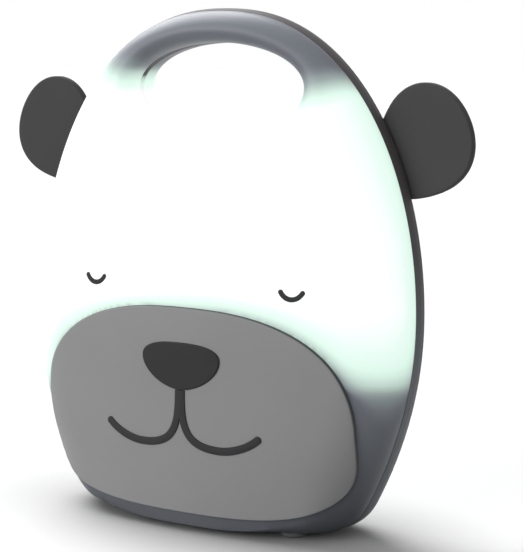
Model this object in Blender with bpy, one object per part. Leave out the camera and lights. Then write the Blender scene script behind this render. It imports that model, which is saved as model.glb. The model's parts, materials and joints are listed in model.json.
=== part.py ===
"""Portable night light shaped like a bear's head, with a carry handle through its top.

Metres, +Z up, the face looks to -Y. The origin is on the floor under the middle of the lamp.
Two translucent shells close on a dark middle frame. The ears are held between the frame and the
rear shell. A shelf inside carries the lights, and the battery bay hangs under it.
"""

import math

import bmesh
import bpy
import numpy as np
from mathutils import Vector

# Clearances
GAP = 0.0003
OVERRUN = 0.003

# Outline of the lamp, seen from the front
BODY_HEIGHT = 0.200
BODY_HALF_WIDTH = 0.0863
WIDEST_share = 0.42
WIDEST_HEIGHT = WIDEST_share * BODY_HEIGHT
FOOT_LIFT = 0.001
BASE_CORNER_RADIUS = 0.023
BASE_STEP_WIDTH = 0.020
LOWER_TAPER = 0.0253
SIDE_POWER = 2.24
CROWN_POWER = 2.0

# Handle hole, an ellipse under the handle
HANDLE_THICKNESS = 0.0132
HOLE_HALF_WIDTH = 0.0390
HOLE_HALF_HEIGHT = 0.0173
HOLE_HEIGHT = BODY_HEIGHT - HANDLE_THICKNESS - HOLE_HALF_HEIGHT

# Middle frame
FRAME_DEPTH = 0.0058
FRAME_PLATE = 0.0028
FLANGE_WALL = 0.0014
FLANGE_SLOPE_WIDTH = 0.0009
FLANGE_SLOPE_DEPTH = 0.0021
WINDOW_LOW = 0.018
WINDOW_BRIDGE = 0.0102
WINDOW_HIGH = HOLE_HEIGHT - HOLE_HALF_HEIGHT - WINDOW_BRIDGE
WINDOW_HEIGHT = (WINDOW_LOW + WINDOW_HIGH) / 2
WINDOW_HALF_WIDTH = 0.072
WINDOW_HALF_HEIGHT = (WINDOW_HIGH - WINDOW_LOW) / 2
WINDOW_POWER = 3.0

# Shells
WALL = 0.0022
FACE_DEPTH = 0.0252
HANDLE_FRONT_DEPTH = 0.0145
BACK_DEPTH = 0.0167
HANDLE_BACK_DEPTH = 0.0140
SLOPE_START_share = 0.35
SLOPE_START = SLOPE_START_share * BODY_HEIGHT
SLOPE_END_DROP = 0.030
SLOPE_END = BODY_HEIGHT - SLOPE_END_DROP
FACE_SWEEP_RADIUS = 0.300
BACK_SWEEP_RADIUS = 0.400
CHIN_CURL_share = 0.5
CHIN_CURL_HEIGHT = 0.045
FRONT_SIDE_ROUND = 0.020
FRONT_TOP_ROUND = 0.030
BACK_SIDE_ROUND = 0.026
BASE_ROUND = 0.0012
BASE_EDGE_HALF_WIDTH = 0.015
BASE_EDGE_SPREAD = 0.060
FRONT_HOLE_ROUND = 0.009
BACK_HOLE_ROUND = 0.004
FRONT_INSET = FLANGE_WALL + GAP
REAR_INSET = 0.002
REAR_SKIRT = 0.001

# Muzzle, nose, mouth and eyes
MUZZLE_THICKNESS = 0.0018
MUZZLE_HALF_WIDTH = 0.0694
MUZZLE_MIDDLE_HEIGHT = 0.042
MUZZLE_TOP_HEIGHT = 0.0868
MUZZLE_BOTTOM_HEIGHT = 0.0073
MUZZLE_TOP_POWER = 2.45
MUZZLE_BOTTOM_POWER = 3.4
PEG_RADIUS = 0.002
PEG_LENGTH = 0.0045
NOSE_HALF_WIDTH = 0.0173
NOSE_LIFT = 0.0252
NOSE_RISE = 0.0063
NOSE_FALL = 0.0120
NOSE_MIDDLE_HEIGHT = MUZZLE_MIDDLE_HEIGHT + NOSE_LIFT
NOSE_TOP_HEIGHT = NOSE_MIDDLE_HEIGHT + NOSE_RISE
NOSE_BOTTOM_HEIGHT = NOSE_MIDDLE_HEIGHT - NOSE_FALL
NOSE_TOP_POWER = 2.55
NOSE_BOTTOM_POWER = 1.75
NOSE_THICKNESS = 0.0012
NOSE_GROOVE = 0.0008
MOUTH_LINE_WIDTH = 0.0030
MOUTH_THICKNESS = 0.0010
MOUTH_GROOVE = 0.0008
MOUTH_TOP_HEIGHT = NOSE_BOTTOM_HEIGHT - 3 * GAP
MOUTH_TOP_X = 0.00065
MOUTH_BEND_DROP = 0.0123
MOUTH_BEND_HEIGHT = MOUTH_TOP_HEIGHT - MOUTH_BEND_DROP
MOUTH_BEND_X = 0.0017
MOUTH_LOW_DROP = 0.0086
MOUTH_LOW_HEIGHT = MOUTH_BEND_HEIGHT - MOUTH_LOW_DROP
MOUTH_LOW_X = 0.0175
MOUTH_END_RISE = 0.0059
MOUTH_END_HEIGHT = MOUTH_LOW_HEIGHT + MOUTH_END_RISE
MOUTH_END_X = 0.0333
EYE_X = 0.0441
EYE_HALF_WIDTH = 0.0043
EYE_TOP_HEIGHT = 0.0953
EYE_SAG = 0.0026
EYE_LINE_WIDTH = 0.0019
EYE_THICKNESS = 0.0009
EYE_GROOVE = 0.0009
BEZIER_REACH_share = 0.75

# Ears
EAR_X = 0.0821
EAR_HEIGHT_share = 0.749
EAR_HEIGHT = EAR_HEIGHT_share * BODY_HEIGHT
EAR_RADIUS = 0.0207
EAR_THICKNESS = 0.003
EAR_EDGE_ROUND = 0.0007
EAR_WAVE_shares = ((1, 0.034, 0.027), (2, -0.029, 0.070), (3, 0.018, -0.053))
EAR_TAB_HALF_WIDTH = 0.007
EAR_TAB_END_X = 0.0565
EAR_PIN_RADIUS = 0.0015
EAR_PIN_X = 0.0615
EAR_PIN_SPREAD = 0.0035

# Case screws, each with its height on the lamp and its distance inside the outline
SCREW_SHANK_RADIUS = 0.0015
SCREW_HEAD_RADIUS = 0.0028
SCREW_HEAD_THICKNESS = 0.0018
SCREW_LENGTH = 0.012
SCREW_SEAT_DEPTH = 0.0035
FRONT_BOSS_RADIUS = 0.0038
REAR_BOSS_RADIUS = 0.0046
TOP_SCREW_DROP = 0.034
TOP_SCREW_INSET = 0.0110
MIDDLE_SCREW_INSET = 0.0083
LOW_SCREW_HEIGHT = 0.024
LOW_SCREW_INSET = 0.0125
CASE_SCREW_PLACES = (
    ("top", BODY_HEIGHT - TOP_SCREW_DROP, TOP_SCREW_INSET),
    ("middle", BODY_HEIGHT / 2, MIDDLE_SCREW_INSET),
    ("low", LOW_SCREW_HEIGHT, LOW_SCREW_INSET),
)

# Cells and their bay
CELL_RADIUS = 0.0070
CELL_LENGTH = 0.0505
CELL_NUB_RADIUS = 0.0027
CELL_NUB_LENGTH = 0.0012
CELL_COUNT = 3
CELL_PITCH = 0.0144
CELL_Y_OFFSET = 0.0056
CONTACT_THICKNESS = 0.0005
CONTACT_HALF_WIDTH = 0.0055
CONTACT_TAB_WIDTH = 0.003
SPRING_LENGTH = 0.0046
SPRING_RADIUS = 0.0038
SPRING_TIP_RADIUS = 0.0026
SPRING_WIRE_RADIUS = 0.0004
SPRING_TURNS = 3
BAY_WALL = 0.0016
BAY_FLOOR = 0.0014
BAY_LIFT = 0.0015
BAY_FRONT_OFFSET = -0.0040

# Shelf, light board and reflector
SHELF_THICKNESS = 0.0016
SHELF_HALF_WIDTH = 0.0680
SHELF_FRONT_DEPTH = 0.0250
SHELF_REAR_DEPTH = 0.0130
SHELF_POWER = 2.5
LUG_INNER_X = 0.064
LUG_HEIGHT = 0.010
LUG_THICKNESS = 0.002
LUG_SCREW_MARGIN = 0.003
DOOR_LUG_HALF_WIDTH = 0.005
DOOR_LUG_HEIGHT = 0.012
DOOR_LUG_FRONT_OFFSET = 0.0065
BOARD_THICKNESS = 0.0016
LIGHT_BOARD_HALF_WIDTH = 0.050
LIGHT_BOARD_FRONT = 0.017
LIGHT_BOARD_REAR = 0.0048
LIGHT_COUNT = 6
LIGHT_PITCH = 0.015
LIGHT_ROW_OFFSET = -0.007
LIGHT_SIDE = 0.005
LIGHT_HEIGHT = 0.0016
REFLECTOR_THICKNESS = 0.0012
REFLECTOR_HALF_WIDTH = 0.062
REFLECTOR_FRONT_DEPTH = 0.0225
REFLECTOR_REAR_DEPTH = 0.0025
SMALL_SHANK_RADIUS = 0.0012
SMALL_HEAD_RADIUS = 0.0023
SMALL_HEAD_THICKNESS = 0.0014
LIGHT_SCREW_X = 0.0465
CHASSIS_SCREW_LENGTH = 0.0048

# Main board, switches and buttons
MAIN_BOARD_OFFSET = 0.0065
MAIN_BOARD_FALL = 0.014
MAIN_BOARD_RISE = 0.013
SWITCH_SIDE = 0.006
SWITCH_BODY = 0.0026
SWITCH_PLUNGER = 0.0006
SWITCH_PLUNGER_RADIUS = 0.0016
BUTTON_TRAVEL = 0.0008
BUTTON_PROUD = 0.0008
BUTTON_FLANGE = 0.0012
BUTTON_FLANGE_THICKNESS = 0.0012
BUTTON_EDGE_ROUND = 0.0004
POWER_BUTTON_X = -0.0095
POWER_BUTTON_RADIUS = 0.006
TIMER_BUTTON_X = 0.0095
TIMER_BUTTON_RADIUS = 0.0045
BOARD_BOSS_RADIUS = 0.0030
BOARD_BOSS_CLEARANCE = 0.0028
BOARD_SCREW_MARGIN = 0.0035
BOARD_SCREW_X = (
    TIMER_BUTTON_X + POWER_BUTTON_RADIUS + BUTTON_FLANGE + BOARD_BOSS_CLEARANCE + BOARD_BOSS_RADIUS
)
MAIN_BOARD_HALF_WIDTH = BOARD_SCREW_X + BOARD_SCREW_MARGIN
BOARD_SCREW_LENGTH = 0.0058
CHIP_SIDE = 0.007
CHIP_THICKNESS = 0.0012

# Battery door
DOOR_HALF_WIDTH = 0.0297
DOOR_LOW = 0.0085
DOOR_HIGH = 0.0665
DOOR_SINK = 0.0012
DOOR_SCREW_HEIGHT = 0.0610
DOOR_SCREW_LENGTH = 0.0075
CONTROL_LIFT = 0.0215
CONTROL_HEIGHT = DOOR_HIGH + CONTROL_LIFT
MAIN_BOARD_LOW = CONTROL_HEIGHT - MAIN_BOARD_FALL
MAIN_BOARD_HIGH = CONTROL_HEIGHT + MAIN_BOARD_RISE
PAD_HALF_WIDTH = 0.012
PAD_LOW = 0.016
PAD_HIGH = 0.048

# Feet
FOOT_RADIUS = 0.005
FOOT_RECESS = 0.0013
FOOT_X = 0.040
FRONT_FOOT_OFFSET = -0.014
REAR_FOOT_OFFSET = 0.0085

# Leads
LEAD_RADIUS = 0.0006
LEAD_HOLE_RADIUS = 0.0011
LEAD_OFFSET = 0.006

# Counts that only set how smooth the shapes are
HANDLE_STEPS = 18
CROWN_STEPS = 7
SIDE_STEPS = 4
CORNER_STEPS = 4
BASE_STEPS = 3
HANDLE_SWEEP_DEGREES = 105
FINE = 4
ROUND_SIDES = 24
SMALL_SIDES = 12
EAR_SIDES = 40

# Height places in the battery bay and on the shelf
BAY_FLOOR_LOW = FOOT_LIFT + WALL + BAY_LIFT
BAY_FLOOR_HIGH = BAY_FLOOR_LOW + BAY_FLOOR
FIRST_CELL_Z = BAY_FLOOR_HIGH + GAP + CELL_RADIUS
SHELF_LOW = FIRST_CELL_Z + (CELL_COUNT - 1) * CELL_PITCH + CELL_RADIUS + 2 * GAP
SHELF_HIGH = SHELF_LOW + SHELF_THICKNESS
LIGHT_BOARD_LOW = SHELF_HIGH + GAP
LIGHT_BOARD_HIGH = LIGHT_BOARD_LOW + BOARD_THICKNESS
REFLECTOR_LOW = LIGHT_BOARD_HIGH + GAP
REFLECTOR_HIGH = REFLECTOR_LOW + REFLECTOR_THICKNESS
BAY_INNER = (CELL_LENGTH + SPRING_LENGTH + 3 * GAP) / 2 + CONTACT_THICKNESS + GAP
BAY_OUTER = BAY_INNER + BAY_WALL
LEAD_X = BAY_OUTER + CONTACT_THICKNESS + 2 * GAP + LEAD_RADIUS

SHELL_PLASTIC = ((0.80, 0.83, 0.86), 0.35, 0.0)
DARK_PLASTIC = ((0.075, 0.070, 0.073), 0.55, 0.0)
MUZZLE_PLASTIC = ((0.26, 0.26, 0.26), 0.6, 0.0)
FEATURE_PLASTIC = ((0.04, 0.04, 0.04), 0.5, 0.0)
EAR_SILICONE = ((0.068, 0.068, 0.068), 0.8, 0.0)
WHITE_PLASTIC = ((0.85, 0.85, 0.83), 0.5, 0.0)
CHASSIS_PLASTIC = ((0.12, 0.12, 0.13), 0.6, 0.0)
BOARD_GREEN = ((0.02, 0.18, 0.07), 0.4, 0.0)
CHIP_BLACK = ((0.02, 0.02, 0.02), 0.4, 0.0)
LIGHT_RESIN = ((0.95, 0.90, 0.55), 0.3, 0.0)
STEEL = ((0.62, 0.62, 0.63), 0.3, 1.0)
CELL_WRAP = ((0.10, 0.22, 0.45), 0.35, 0.2)
FOAM = ((0.05, 0.05, 0.055), 0.95, 0.0)
FOOT_RUBBER = ((0.55, 0.55, 0.56), 0.8, 0.0)
RED_INSULATION = ((0.55, 0.03, 0.03), 0.5, 0.0)
BLACK_INSULATION = ((0.02, 0.02, 0.02), 0.5, 0.0)


def clear_scene():
    for obj in list(bpy.data.objects):
        bpy.data.objects.remove(obj, do_unlink=True)


def material(name, look):
    colour, roughness, metallic = look
    made = bpy.data.materials.new(name)
    made.use_nodes = True
    shader = made.node_tree.nodes["Principled BSDF"]
    shader.inputs["Base Color"].default_value = (*colour, 1.0)
    shader.inputs["Roughness"].default_value = roughness
    shader.inputs["Metallic"].default_value = metallic
    return made


def add_object(name, shape, look=None, origin=(0.0, 0.0, 0.0)):
    """Turns a bmesh in world places into an object, a cutter where it has no look."""
    bmesh.ops.recalc_face_normals(shape, faces=shape.faces)
    bmesh.ops.translate(shape, verts=shape.verts, vec=-Vector(origin))
    mesh = bpy.data.meshes.new(name)
    shape.to_mesh(mesh)
    shape.free()
    obj = bpy.data.objects.new(name, mesh)
    obj.location = origin
    bpy.context.scene.collection.objects.link(obj)
    if look is None:
        obj.hide_render = True
        obj.display_type = "WIRE"
    else:
        mesh.materials.append(material(name, look))
        mesh.shade_smooth()
        mesh.set_sharp_from_angle(angle=math.radians(35))
    return obj


def combine(target, operation, other):
    """Adds a Boolean of the target with another object, DIFFERENCE, UNION or INTERSECT."""
    step = target.modifiers.new(other.name, "BOOLEAN")
    step.operation = operation
    step.solver = "EXACT"
    step.object = other


def soften(obj, width):
    step = obj.modifiers.new("rounded edges", "BEVEL")
    step.width = width
    step.segments = 1
    step.limit_method = "ANGLE"
    step.angle_limit = math.radians(50)


def smooth_step(share):
    share = np.clip(share, 0.0, 1.0)
    return share * share * (3 - 2 * share)


def round_over(share):
    """Quarter of an ellipse, from 0 at the rim to 1 where the rounding ends."""
    return np.sqrt(1 - (1 - np.clip(share, 0.0, 1.0)) ** 2)


def crown_point(angle):
    rise = BODY_HEIGHT - WIDEST_HEIGHT
    x = BODY_HALF_WIDTH * math.cos(angle) ** (2 / SIDE_POWER)
    return x, WIDEST_HEIGHT + rise * math.sin(angle) ** (2 / CROWN_POWER)


def half_width(height):
    """Half the lamp's width at a height above the base corners."""
    if height < WIDEST_HEIGHT:
        drop = (WIDEST_HEIGHT - height) / WIDEST_HEIGHT
        return BODY_HALF_WIDTH - LOWER_TAPER * drop * drop
    climb = (height - WIDEST_HEIGHT) / (BODY_HEIGHT - WIDEST_HEIGHT)
    return BODY_HALF_WIDTH * (1 - climb**CROWN_POWER) ** (1 / SIDE_POWER)


def hole_aim(x, height):
    """Angle round the handle hole's middle, from straight up, in the hole's own proportions."""
    return math.atan2(x / HOLE_HALF_WIDTH, (height - HOLE_HEIGHT) / HOLE_HALF_HEIGHT)


def solve(low, high, wants_higher):
    for _ in range(50):
        middle = (low + high) / 2
        if wants_higher(middle):
            low = middle
        else:
            high = middle
    return (low + high) / 2


def base_corner():
    """Where the side meets the base corner's arc, and the middle of that arc."""

    def middle_of(height):
        slope = 2 * LOWER_TAPER * (WIDEST_HEIGHT - height) / WIDEST_HEIGHT**2
        length = math.hypot(1.0, slope)
        x = half_width(height) - BASE_CORNER_RADIUS / length
        return x, height + BASE_CORNER_RADIUS * slope / length

    target = FOOT_LIFT + BASE_CORNER_RADIUS
    height = solve(FOOT_LIFT, WIDEST_HEIGHT, lambda z: middle_of(z)[1] < target)
    return height, middle_of(height)


def outline_half(detail):
    """Right half of the lamp's outline, from the top of the handle down to the middle of the base."""
    points = [(0.0, BODY_HEIGHT)]
    steps = HANDLE_STEPS * detail
    sweep = math.radians(HANDLE_SWEEP_DEGREES)
    angle = math.pi / 2
    for i in range(1, steps + 1):
        aim = sweep * i / steps
        angle = solve(0.0, math.pi / 2, lambda a: hole_aim(*crown_point(a)) > aim)
        points.append(crown_point(angle))
    steps = CROWN_STEPS * detail
    points += [crown_point(angle * (1 - i / steps)) for i in range(1, steps + 1)]
    start, middle = base_corner()
    steps = SIDE_STEPS * detail
    for i in range(1, steps + 1):
        height = WIDEST_HEIGHT + (start - WIDEST_HEIGHT) * i / steps
        points.append((half_width(height), height))
    steps = CORNER_STEPS * detail
    first = math.atan2(start - middle[1], half_width(start) - middle[0])
    for i in range(1, steps + 1):
        turn = first + (-math.pi / 2 - first) * i / steps
        points.append(
            (
                middle[0] + BASE_CORNER_RADIUS * math.cos(turn),
                middle[1] + BASE_CORNER_RADIUS * math.sin(turn),
            )
        )
    steps = BASE_STEPS * detail
    points += [(middle[0] * (1 - i / steps), FOOT_LIFT) for i in range(1, steps + 1)]
    return points


def whole_loop(half):
    """Closes a right half that starts and ends on the middle plane."""
    mirrored = [(-x, z) for x, z in reversed(half[1:-1])]
    return np.array(half + mirrored)


def inward_normals(loop):
    along = np.roll(loop, -1, axis=0) - np.roll(loop, 1, axis=0)
    normals = np.stack([along[:, 1], -along[:, 0]], axis=1)
    normals /= np.linalg.norm(normals, axis=1)[:, None]
    middle = loop.mean(axis=0)
    flip = np.sum((middle - loop) * normals, axis=1) < 0
    normals[flip] *= -1
    return normals


def inset_loop(loop, distance):
    return loop + inward_normals(loop) * np.reshape(distance, (-1, 1))


LOOP = whole_loop(outline_half(1))
FINE_LOOP = whole_loop(outline_half(FINE))


def hole_loop():
    """Handle hole's edge, its points matching those of the lamp's outline."""
    handle = [math.radians(HANDLE_SWEEP_DEGREES) * i / HANDLE_STEPS for i in range(HANDLE_STEPS + 1)]
    rest = len(outline_half(1)) - 1 - HANDLE_STEPS
    start = handle[-1]
    angles = handle + [start + (math.pi - start) * i / rest for i in range(1, rest + 1)]
    half = [
        (HOLE_HALF_WIDTH * math.sin(a), HOLE_HEIGHT + HOLE_HALF_HEIGHT * math.cos(a)) for a in angles
    ]
    half[-1] = (0.0, HOLE_HEIGHT - HOLE_HALF_HEIGHT)
    return whole_loop(half)


HOLE = hole_loop()
HOLE_NORMALS = -inward_normals(HOLE)


def rim_distances(points):
    """Distance of each point to every short edge of the lamp's outline."""
    start = FINE_LOOP
    edge = np.roll(FINE_LOOP, -1, axis=0) - start
    offset = points[:, None, :] - start[None]
    share = np.clip(np.sum(offset * edge, axis=2) / np.sum(edge * edge, axis=1), 0.0, 1.0)
    return np.linalg.norm(offset - share[:, :, None] * edge[None], axis=2)


def hole_distance(points):
    """Distance to the handle hole's edge, close enough for the width of its rounding."""
    x = points[:, 0]
    z = points[:, 1] - HOLE_HEIGHT
    ring = np.sqrt((x / HOLE_HALF_WIDTH) ** 2 + (z / HOLE_HALF_HEIGHT) ** 2)
    steep = np.sqrt((x / HOLE_HALF_WIDTH**2) ** 2 + (z / HOLE_HALF_HEIGHT**2) ** 2)
    return (ring - 1) * ring / steep


def edge_rounds(side_round, top_round):
    """Width of the edge rounding along the outline: wide at the sides, tight along the base."""
    height = FINE_LOOP[:, 1]
    side = side_round + (top_round - side_round) * smooth_step(
        (height - SLOPE_START) / (SLOPE_END - SLOPE_START)
    )
    spread = (np.abs(FINE_LOOP[:, 0]) - BASE_EDGE_HALF_WIDTH) / BASE_EDGE_SPREAD
    tight = np.where(height < WIDEST_HEIGHT, 1 - np.clip(spread, 0.0, 1.0) ** 2, 0.0)
    return side + (BASE_ROUND - side) * tight


def rim_insets(loop, inset):
    """How far inside the outline a shell's rim runs: not at all along the flat base."""
    flat = base_corner()[1]
    beyond = np.clip((np.abs(loop[:, 0]) - flat[0]) / BASE_STEP_WIDTH, 0.0, 1.0)
    return inset * np.where(loop[:, 1] > WIDEST_HEIGHT, 1.0, beyond)


FRONT_ROUNDS = edge_rounds(FRONT_SIDE_ROUND, FRONT_TOP_ROUND)
BACK_ROUNDS = edge_rounds(BACK_SIDE_ROUND, BACK_SIDE_ROUND)


def depth_slope(points):
    """1 at the body and 0 at the handle, where the lamp is shallower."""
    return smooth_step((SLOPE_END - points[:, 1]) / (SLOPE_END - SLOPE_START))


def along_edges(values):
    """Mean of the values at both ends of each short edge of the outline."""
    return (values + np.roll(values, -1)) / 2


def edge_falloff(points, inset, rounds, hole_round, skin):
    """1 over the middle of a shell, down to 0 at its rim and at the handle hole."""
    insets = along_edges(rim_insets(FINE_LOOP, inset))
    widths = np.maximum(along_edges(rounds) - skin, GAP)
    shares = (rim_distances(points) - insets - skin) / widths
    hole = round_over((hole_distance(points) - skin) / (hole_round - skin))
    return round_over(shares.min(axis=1)) * hole


def front_height(points, skin=0.0):
    """How far the front shell stands before its base plane, or the surface a skin inside it."""
    depth = HANDLE_FRONT_DEPTH + (FACE_DEPTH - HANDLE_FRONT_DEPTH) * depth_slope(points)
    curl = 1 + CHIN_CURL_share * (1 - smooth_step(points[:, 1] / CHIN_CURL_HEIGHT))
    depth = depth - points[:, 0] ** 2 / (2 * FACE_SWEEP_RADIUS) * curl - skin
    return depth * edge_falloff(points, FRONT_INSET, FRONT_ROUNDS, FRONT_HOLE_ROUND, skin)


def rear_height(points, skin=0.0):
    """How far the rear shell stands behind its base plane, or the surface a skin inside it."""
    depth = HANDLE_BACK_DEPTH + (BACK_DEPTH - HANDLE_BACK_DEPTH) * depth_slope(points)
    depth = depth - points[:, 0] ** 2 / (2 * BACK_SWEEP_RADIUS) - skin
    return depth * edge_falloff(points, REAR_INSET, BACK_ROUNDS, BACK_HOLE_ROUND, skin)


# Depth places, worked out so that the lamp's box is centred on the origin
NOSE_PROUD = GAP + MUZZLE_THICKNESS - NOSE_GROOVE + GAP + NOSE_THICKNESS
CONTROL_POINT = np.array([[TIMER_BUTTON_X, CONTROL_HEIGHT]])
FRONT_REACH = FRAME_DEPTH + FACE_DEPTH + NOSE_PROUD
REAR_REACH = GAP + REAR_SKIRT + float(rear_height(CONTROL_POINT)[0]) + BUTTON_PROUD
SEAM = (FRONT_REACH - REAR_REACH) / 2
FRONT_RIM = SEAM - FRAME_PLATE - GAP
FRONT_BASE = SEAM - FRAME_DEPTH
REAR_RIM = SEAM + GAP
REAR_BASE = REAR_RIM + REAR_SKIRT
CELL_Y = SEAM + CELL_Y_OFFSET


def front_y(x, z, offset=0.0):
    return FRONT_BASE - float(front_height(np.array([[x, z]]))[0]) - offset


def rear_y(x, z, offset=0.0):
    return REAR_BASE + float(rear_height(np.array([[x, z]]))[0]) + offset


def surface_rings(inset, skin, rounds, hole_round, near_rim_shares, between, near_hole_shares):
    """Loops of (x, z) points from the rim of a shell to its handle hole, close together at both."""
    outer = inset_loop(LOOP, rim_insets(LOOP, inset) + skin)
    inner = HOLE + HOLE_NORMALS * skin
    span = inner - outer
    length = np.linalg.norm(span, axis=1)
    rim_width = np.minimum(np.maximum(rounds[::FINE] - skin, GAP), length / 2)
    hole_width = np.minimum(hole_round - skin, length / 2)
    rings = [outer + span * (share * rim_width / length)[:, None] for share in near_rim_shares]
    first = rim_width / length
    last = 1 - hole_width / length
    for i in range(1, between + 1):
        rings.append(outer + span * (first + (last - first) * i / (between + 1))[:, None])
    rings += [inner - span * (share * hole_width / length)[:, None] for share in near_hole_shares]
    return rings


def torus_of(loops, closed=True, split=False):
    """Joins loops of 3-D points, each to the next and the last to the first, into one skin.

    Split cells are three-cornered and alike on both halves, so that two skins nest evenly.
    """
    shape = bmesh.new()
    rows = [[shape.verts.new(point) for point in loop] for loop in loops]
    pairs = list(zip(rows, rows[1:] + rows[:1])) if closed else list(zip(rows, rows[1:]))
    for low, high in pairs:
        for i in range(len(low)):
            j = (i + 1) % len(low)
            corners = (low[i], low[j], high[j], high[i])
            if not split:
                shape.faces.new(corners)
                continue
            turn = 1 if i < len(low) // 2 else 0
            for step in (0, 2):
                shape.faces.new([corners[(turn + step + n) % 4] for n in range(3)])
    if not closed:
        shape.faces.new(rows[0])
        shape.faces.new(rows[-1])
    return shape


def at_depth(loop, depth):
    """Puts a loop of (x, z) points at one depth or at a depth of its own for each point."""
    depths = np.broadcast_to(depth, (len(loop),))
    return [(float(x), float(y), float(z)) for (x, z), y in zip(loop, depths)]


RIM_SHARES = (0.0, 0.06, 0.25, 0.58, 1.0)
RIM_INNER_SHARES = (0.0, 0.25, 1.0)
HOLE_SHARES = (1.0, 0.25, 0.0)
HOLE_INNER_SHARES = (1.0, 0.3, 0.0)


def shell_rings(side, skin, coarse):
    """Surface of the front shell (side -1) or the rear shell (side 1), as 3-D loops."""
    front = side < 0
    inset = FRONT_INSET if front else REAR_INSET
    near_hole = FRONT_HOLE_ROUND if front else BACK_HOLE_ROUND
    height = front_height if front else rear_height
    base = FRONT_BASE if front else REAR_BASE

    rings = surface_rings(
        inset,
        skin,
        FRONT_ROUNDS if front else BACK_ROUNDS,
        near_hole,
        RIM_INNER_SHARES if coarse else RIM_SHARES,
        2 if coarse else 4,
        HOLE_INNER_SHARES if coarse else HOLE_SHARES,
    )
    loops = []
    for i, ring in enumerate(rings):
        edge = i in (0, len(rings) - 1)
        raised = 0.0 if edge else height(ring, skin)
        loops.append(at_depth(ring, base + side * raised))
    return rings, loops


def shell_bmesh(side):
    """Hollow shell: its outer surface, its inner surface and the flat rims that join them."""
    rim = FRONT_RIM if side < 0 else REAR_RIM
    outer, outer_loops = shell_rings(side, 0.0, False)
    inner, inner_loops = shell_rings(side, WALL, True)
    loops = [at_depth(outer[0], rim), *outer_loops, at_depth(outer[-1], rim)]
    loops += [at_depth(inner[-1], rim), *reversed(inner_loops), at_depth(inner[0], rim)]
    return torus_of(loops, split=True)


def core_bmesh(side, skin=WALL / 2):
    """Solid whose surface runs a skin inside a shell's outer surface, to trim what meets it."""
    rim = FRONT_RIM if side < 0 else REAR_RIM
    flat, loops = shell_rings(side, skin, False)
    return torus_of([at_depth(flat[0], rim), *loops, at_depth(flat[-1], rim)], split=True)


def prism(loop, low, high):
    """Closed solid with an (x, z) outline, from one depth to another."""
    return torus_of([at_depth(loop, low), at_depth(loop, high)], closed=False)


def box(low, high):
    shape = bmesh.new()
    bmesh.ops.create_cube(shape, size=1.0)
    size = Vector(high) - Vector(low)
    bmesh.ops.scale(shape, vec=size, verts=shape.verts)
    bmesh.ops.translate(shape, verts=shape.verts, vec=Vector(low) + size / 2)
    return shape


def turned(profile, axis, at, sides=SMALL_SIDES):
    """Solid of revolution: profile is (along, radius) pairs along X, Y or Z from the place at."""
    shape = bmesh.new()
    rings = []
    for along, radius in profile:
        ring = []
        for i in range(sides):
            turn = 2 * math.pi * i / sides
            a, b = radius * math.cos(turn), radius * math.sin(turn)
            place = {"X": (along, a, b), "Y": (a, along, b), "Z": (a, b, along)}[axis]
            ring.append(shape.verts.new(Vector(at) + Vector(place)))
        rings.append(ring)
    for low, high in zip(rings, rings[1:]):
        for i in range(sides):
            j = (i + 1) % sides
            shape.faces.new((low[i], low[j], high[j], high[i]))
    shape.faces.new(rings[0])
    shape.faces.new(rings[-1])
    return shape


def rod(axis, at, start, end, radius, sides=SMALL_SIDES):
    return turned([(start, radius), (end, radius)], axis, at, sides)


def merged(shapes):
    """One bmesh that holds several separate closed shapes."""
    whole = bmesh.new()
    for shape in shapes:
        mesh = bpy.data.meshes.new("piece of a cutter")
        shape.to_mesh(mesh)
        shape.free()
        whole.from_mesh(mesh)
        bpy.data.meshes.remove(mesh)
    return whole


def ellipse_power(half_x, rise, fall, middle, upper_power, lower_power, sides):
    """Closed rounded outline in (x, z) with its own height and squareness above and below."""
    loop = []
    for i in range(sides):
        turn = 2 * math.pi * i / sides
        cosine, sine = math.cos(turn), math.sin(turn)
        power = upper_power if sine >= 0 else lower_power
        reach = rise if sine >= 0 else fall
        x = math.copysign(half_x * abs(cosine) ** (2 / power), cosine)
        z = math.copysign(reach * abs(sine) ** (2 / power), sine)
        loop.append((x, middle + z))
    return np.array(loop)


def slab(points, cells, low, high):
    """Closed solid over a flat net of cells in (x, z), from one depth to another at each point."""
    shape = bmesh.new()
    near = [shape.verts.new((x, y, z)) for (x, z), y in zip(points, low)]
    far = [shape.verts.new((x, y, z)) for (x, z), y in zip(points, high)]
    uses = {}
    for cell in cells:
        shape.faces.new([near[i] for i in cell])
        shape.faces.new([far[i] for i in cell])
        for pair in zip(cell, cell[1:] + cell[:1]):
            key = tuple(sorted(pair))
            uses[key] = uses.get(key, 0) + 1
    for (a, b), count in uses.items():
        if count == 1:
            shape.faces.new((near[a], near[b], far[b], far[a]))
    return shape


def on_face(points, cells, under, over):
    """Solid that follows the front shell's surface, between two heights above it."""
    points = np.array(points)
    surface = FRONT_BASE - front_height(points)
    return slab(points, cells, surface - under, surface - over)


def patch(loop, centre, scales, under, over):
    """Plate on the face inside an outline: rings of cells shrink towards a centre."""
    middle = np.array(centre)
    count = len(loop)
    points = np.concatenate([middle + (loop - middle) * scale for scale in scales])
    cells = []
    for ring in range(len(scales) - 1):
        for i in range(count):
            j = (i + 1) % count
            first = ring * count
            cells.append([first + i, first + j, first + count + j, first + count + i])
    cells.append([(len(scales) - 1) * count + i for i in range(count)])
    return on_face(points, cells, under, over)


def line_edges(path, half_widths):
    """Points along both edges of a line of varying width."""
    path = np.array(path)
    along = np.gradient(path, axis=0)
    along /= np.linalg.norm(along, axis=1)[:, None]
    across = np.stack([-along[:, 1], along[:, 0]], axis=1) * np.array(half_widths)[:, None]
    return path + across, path - across


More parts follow.
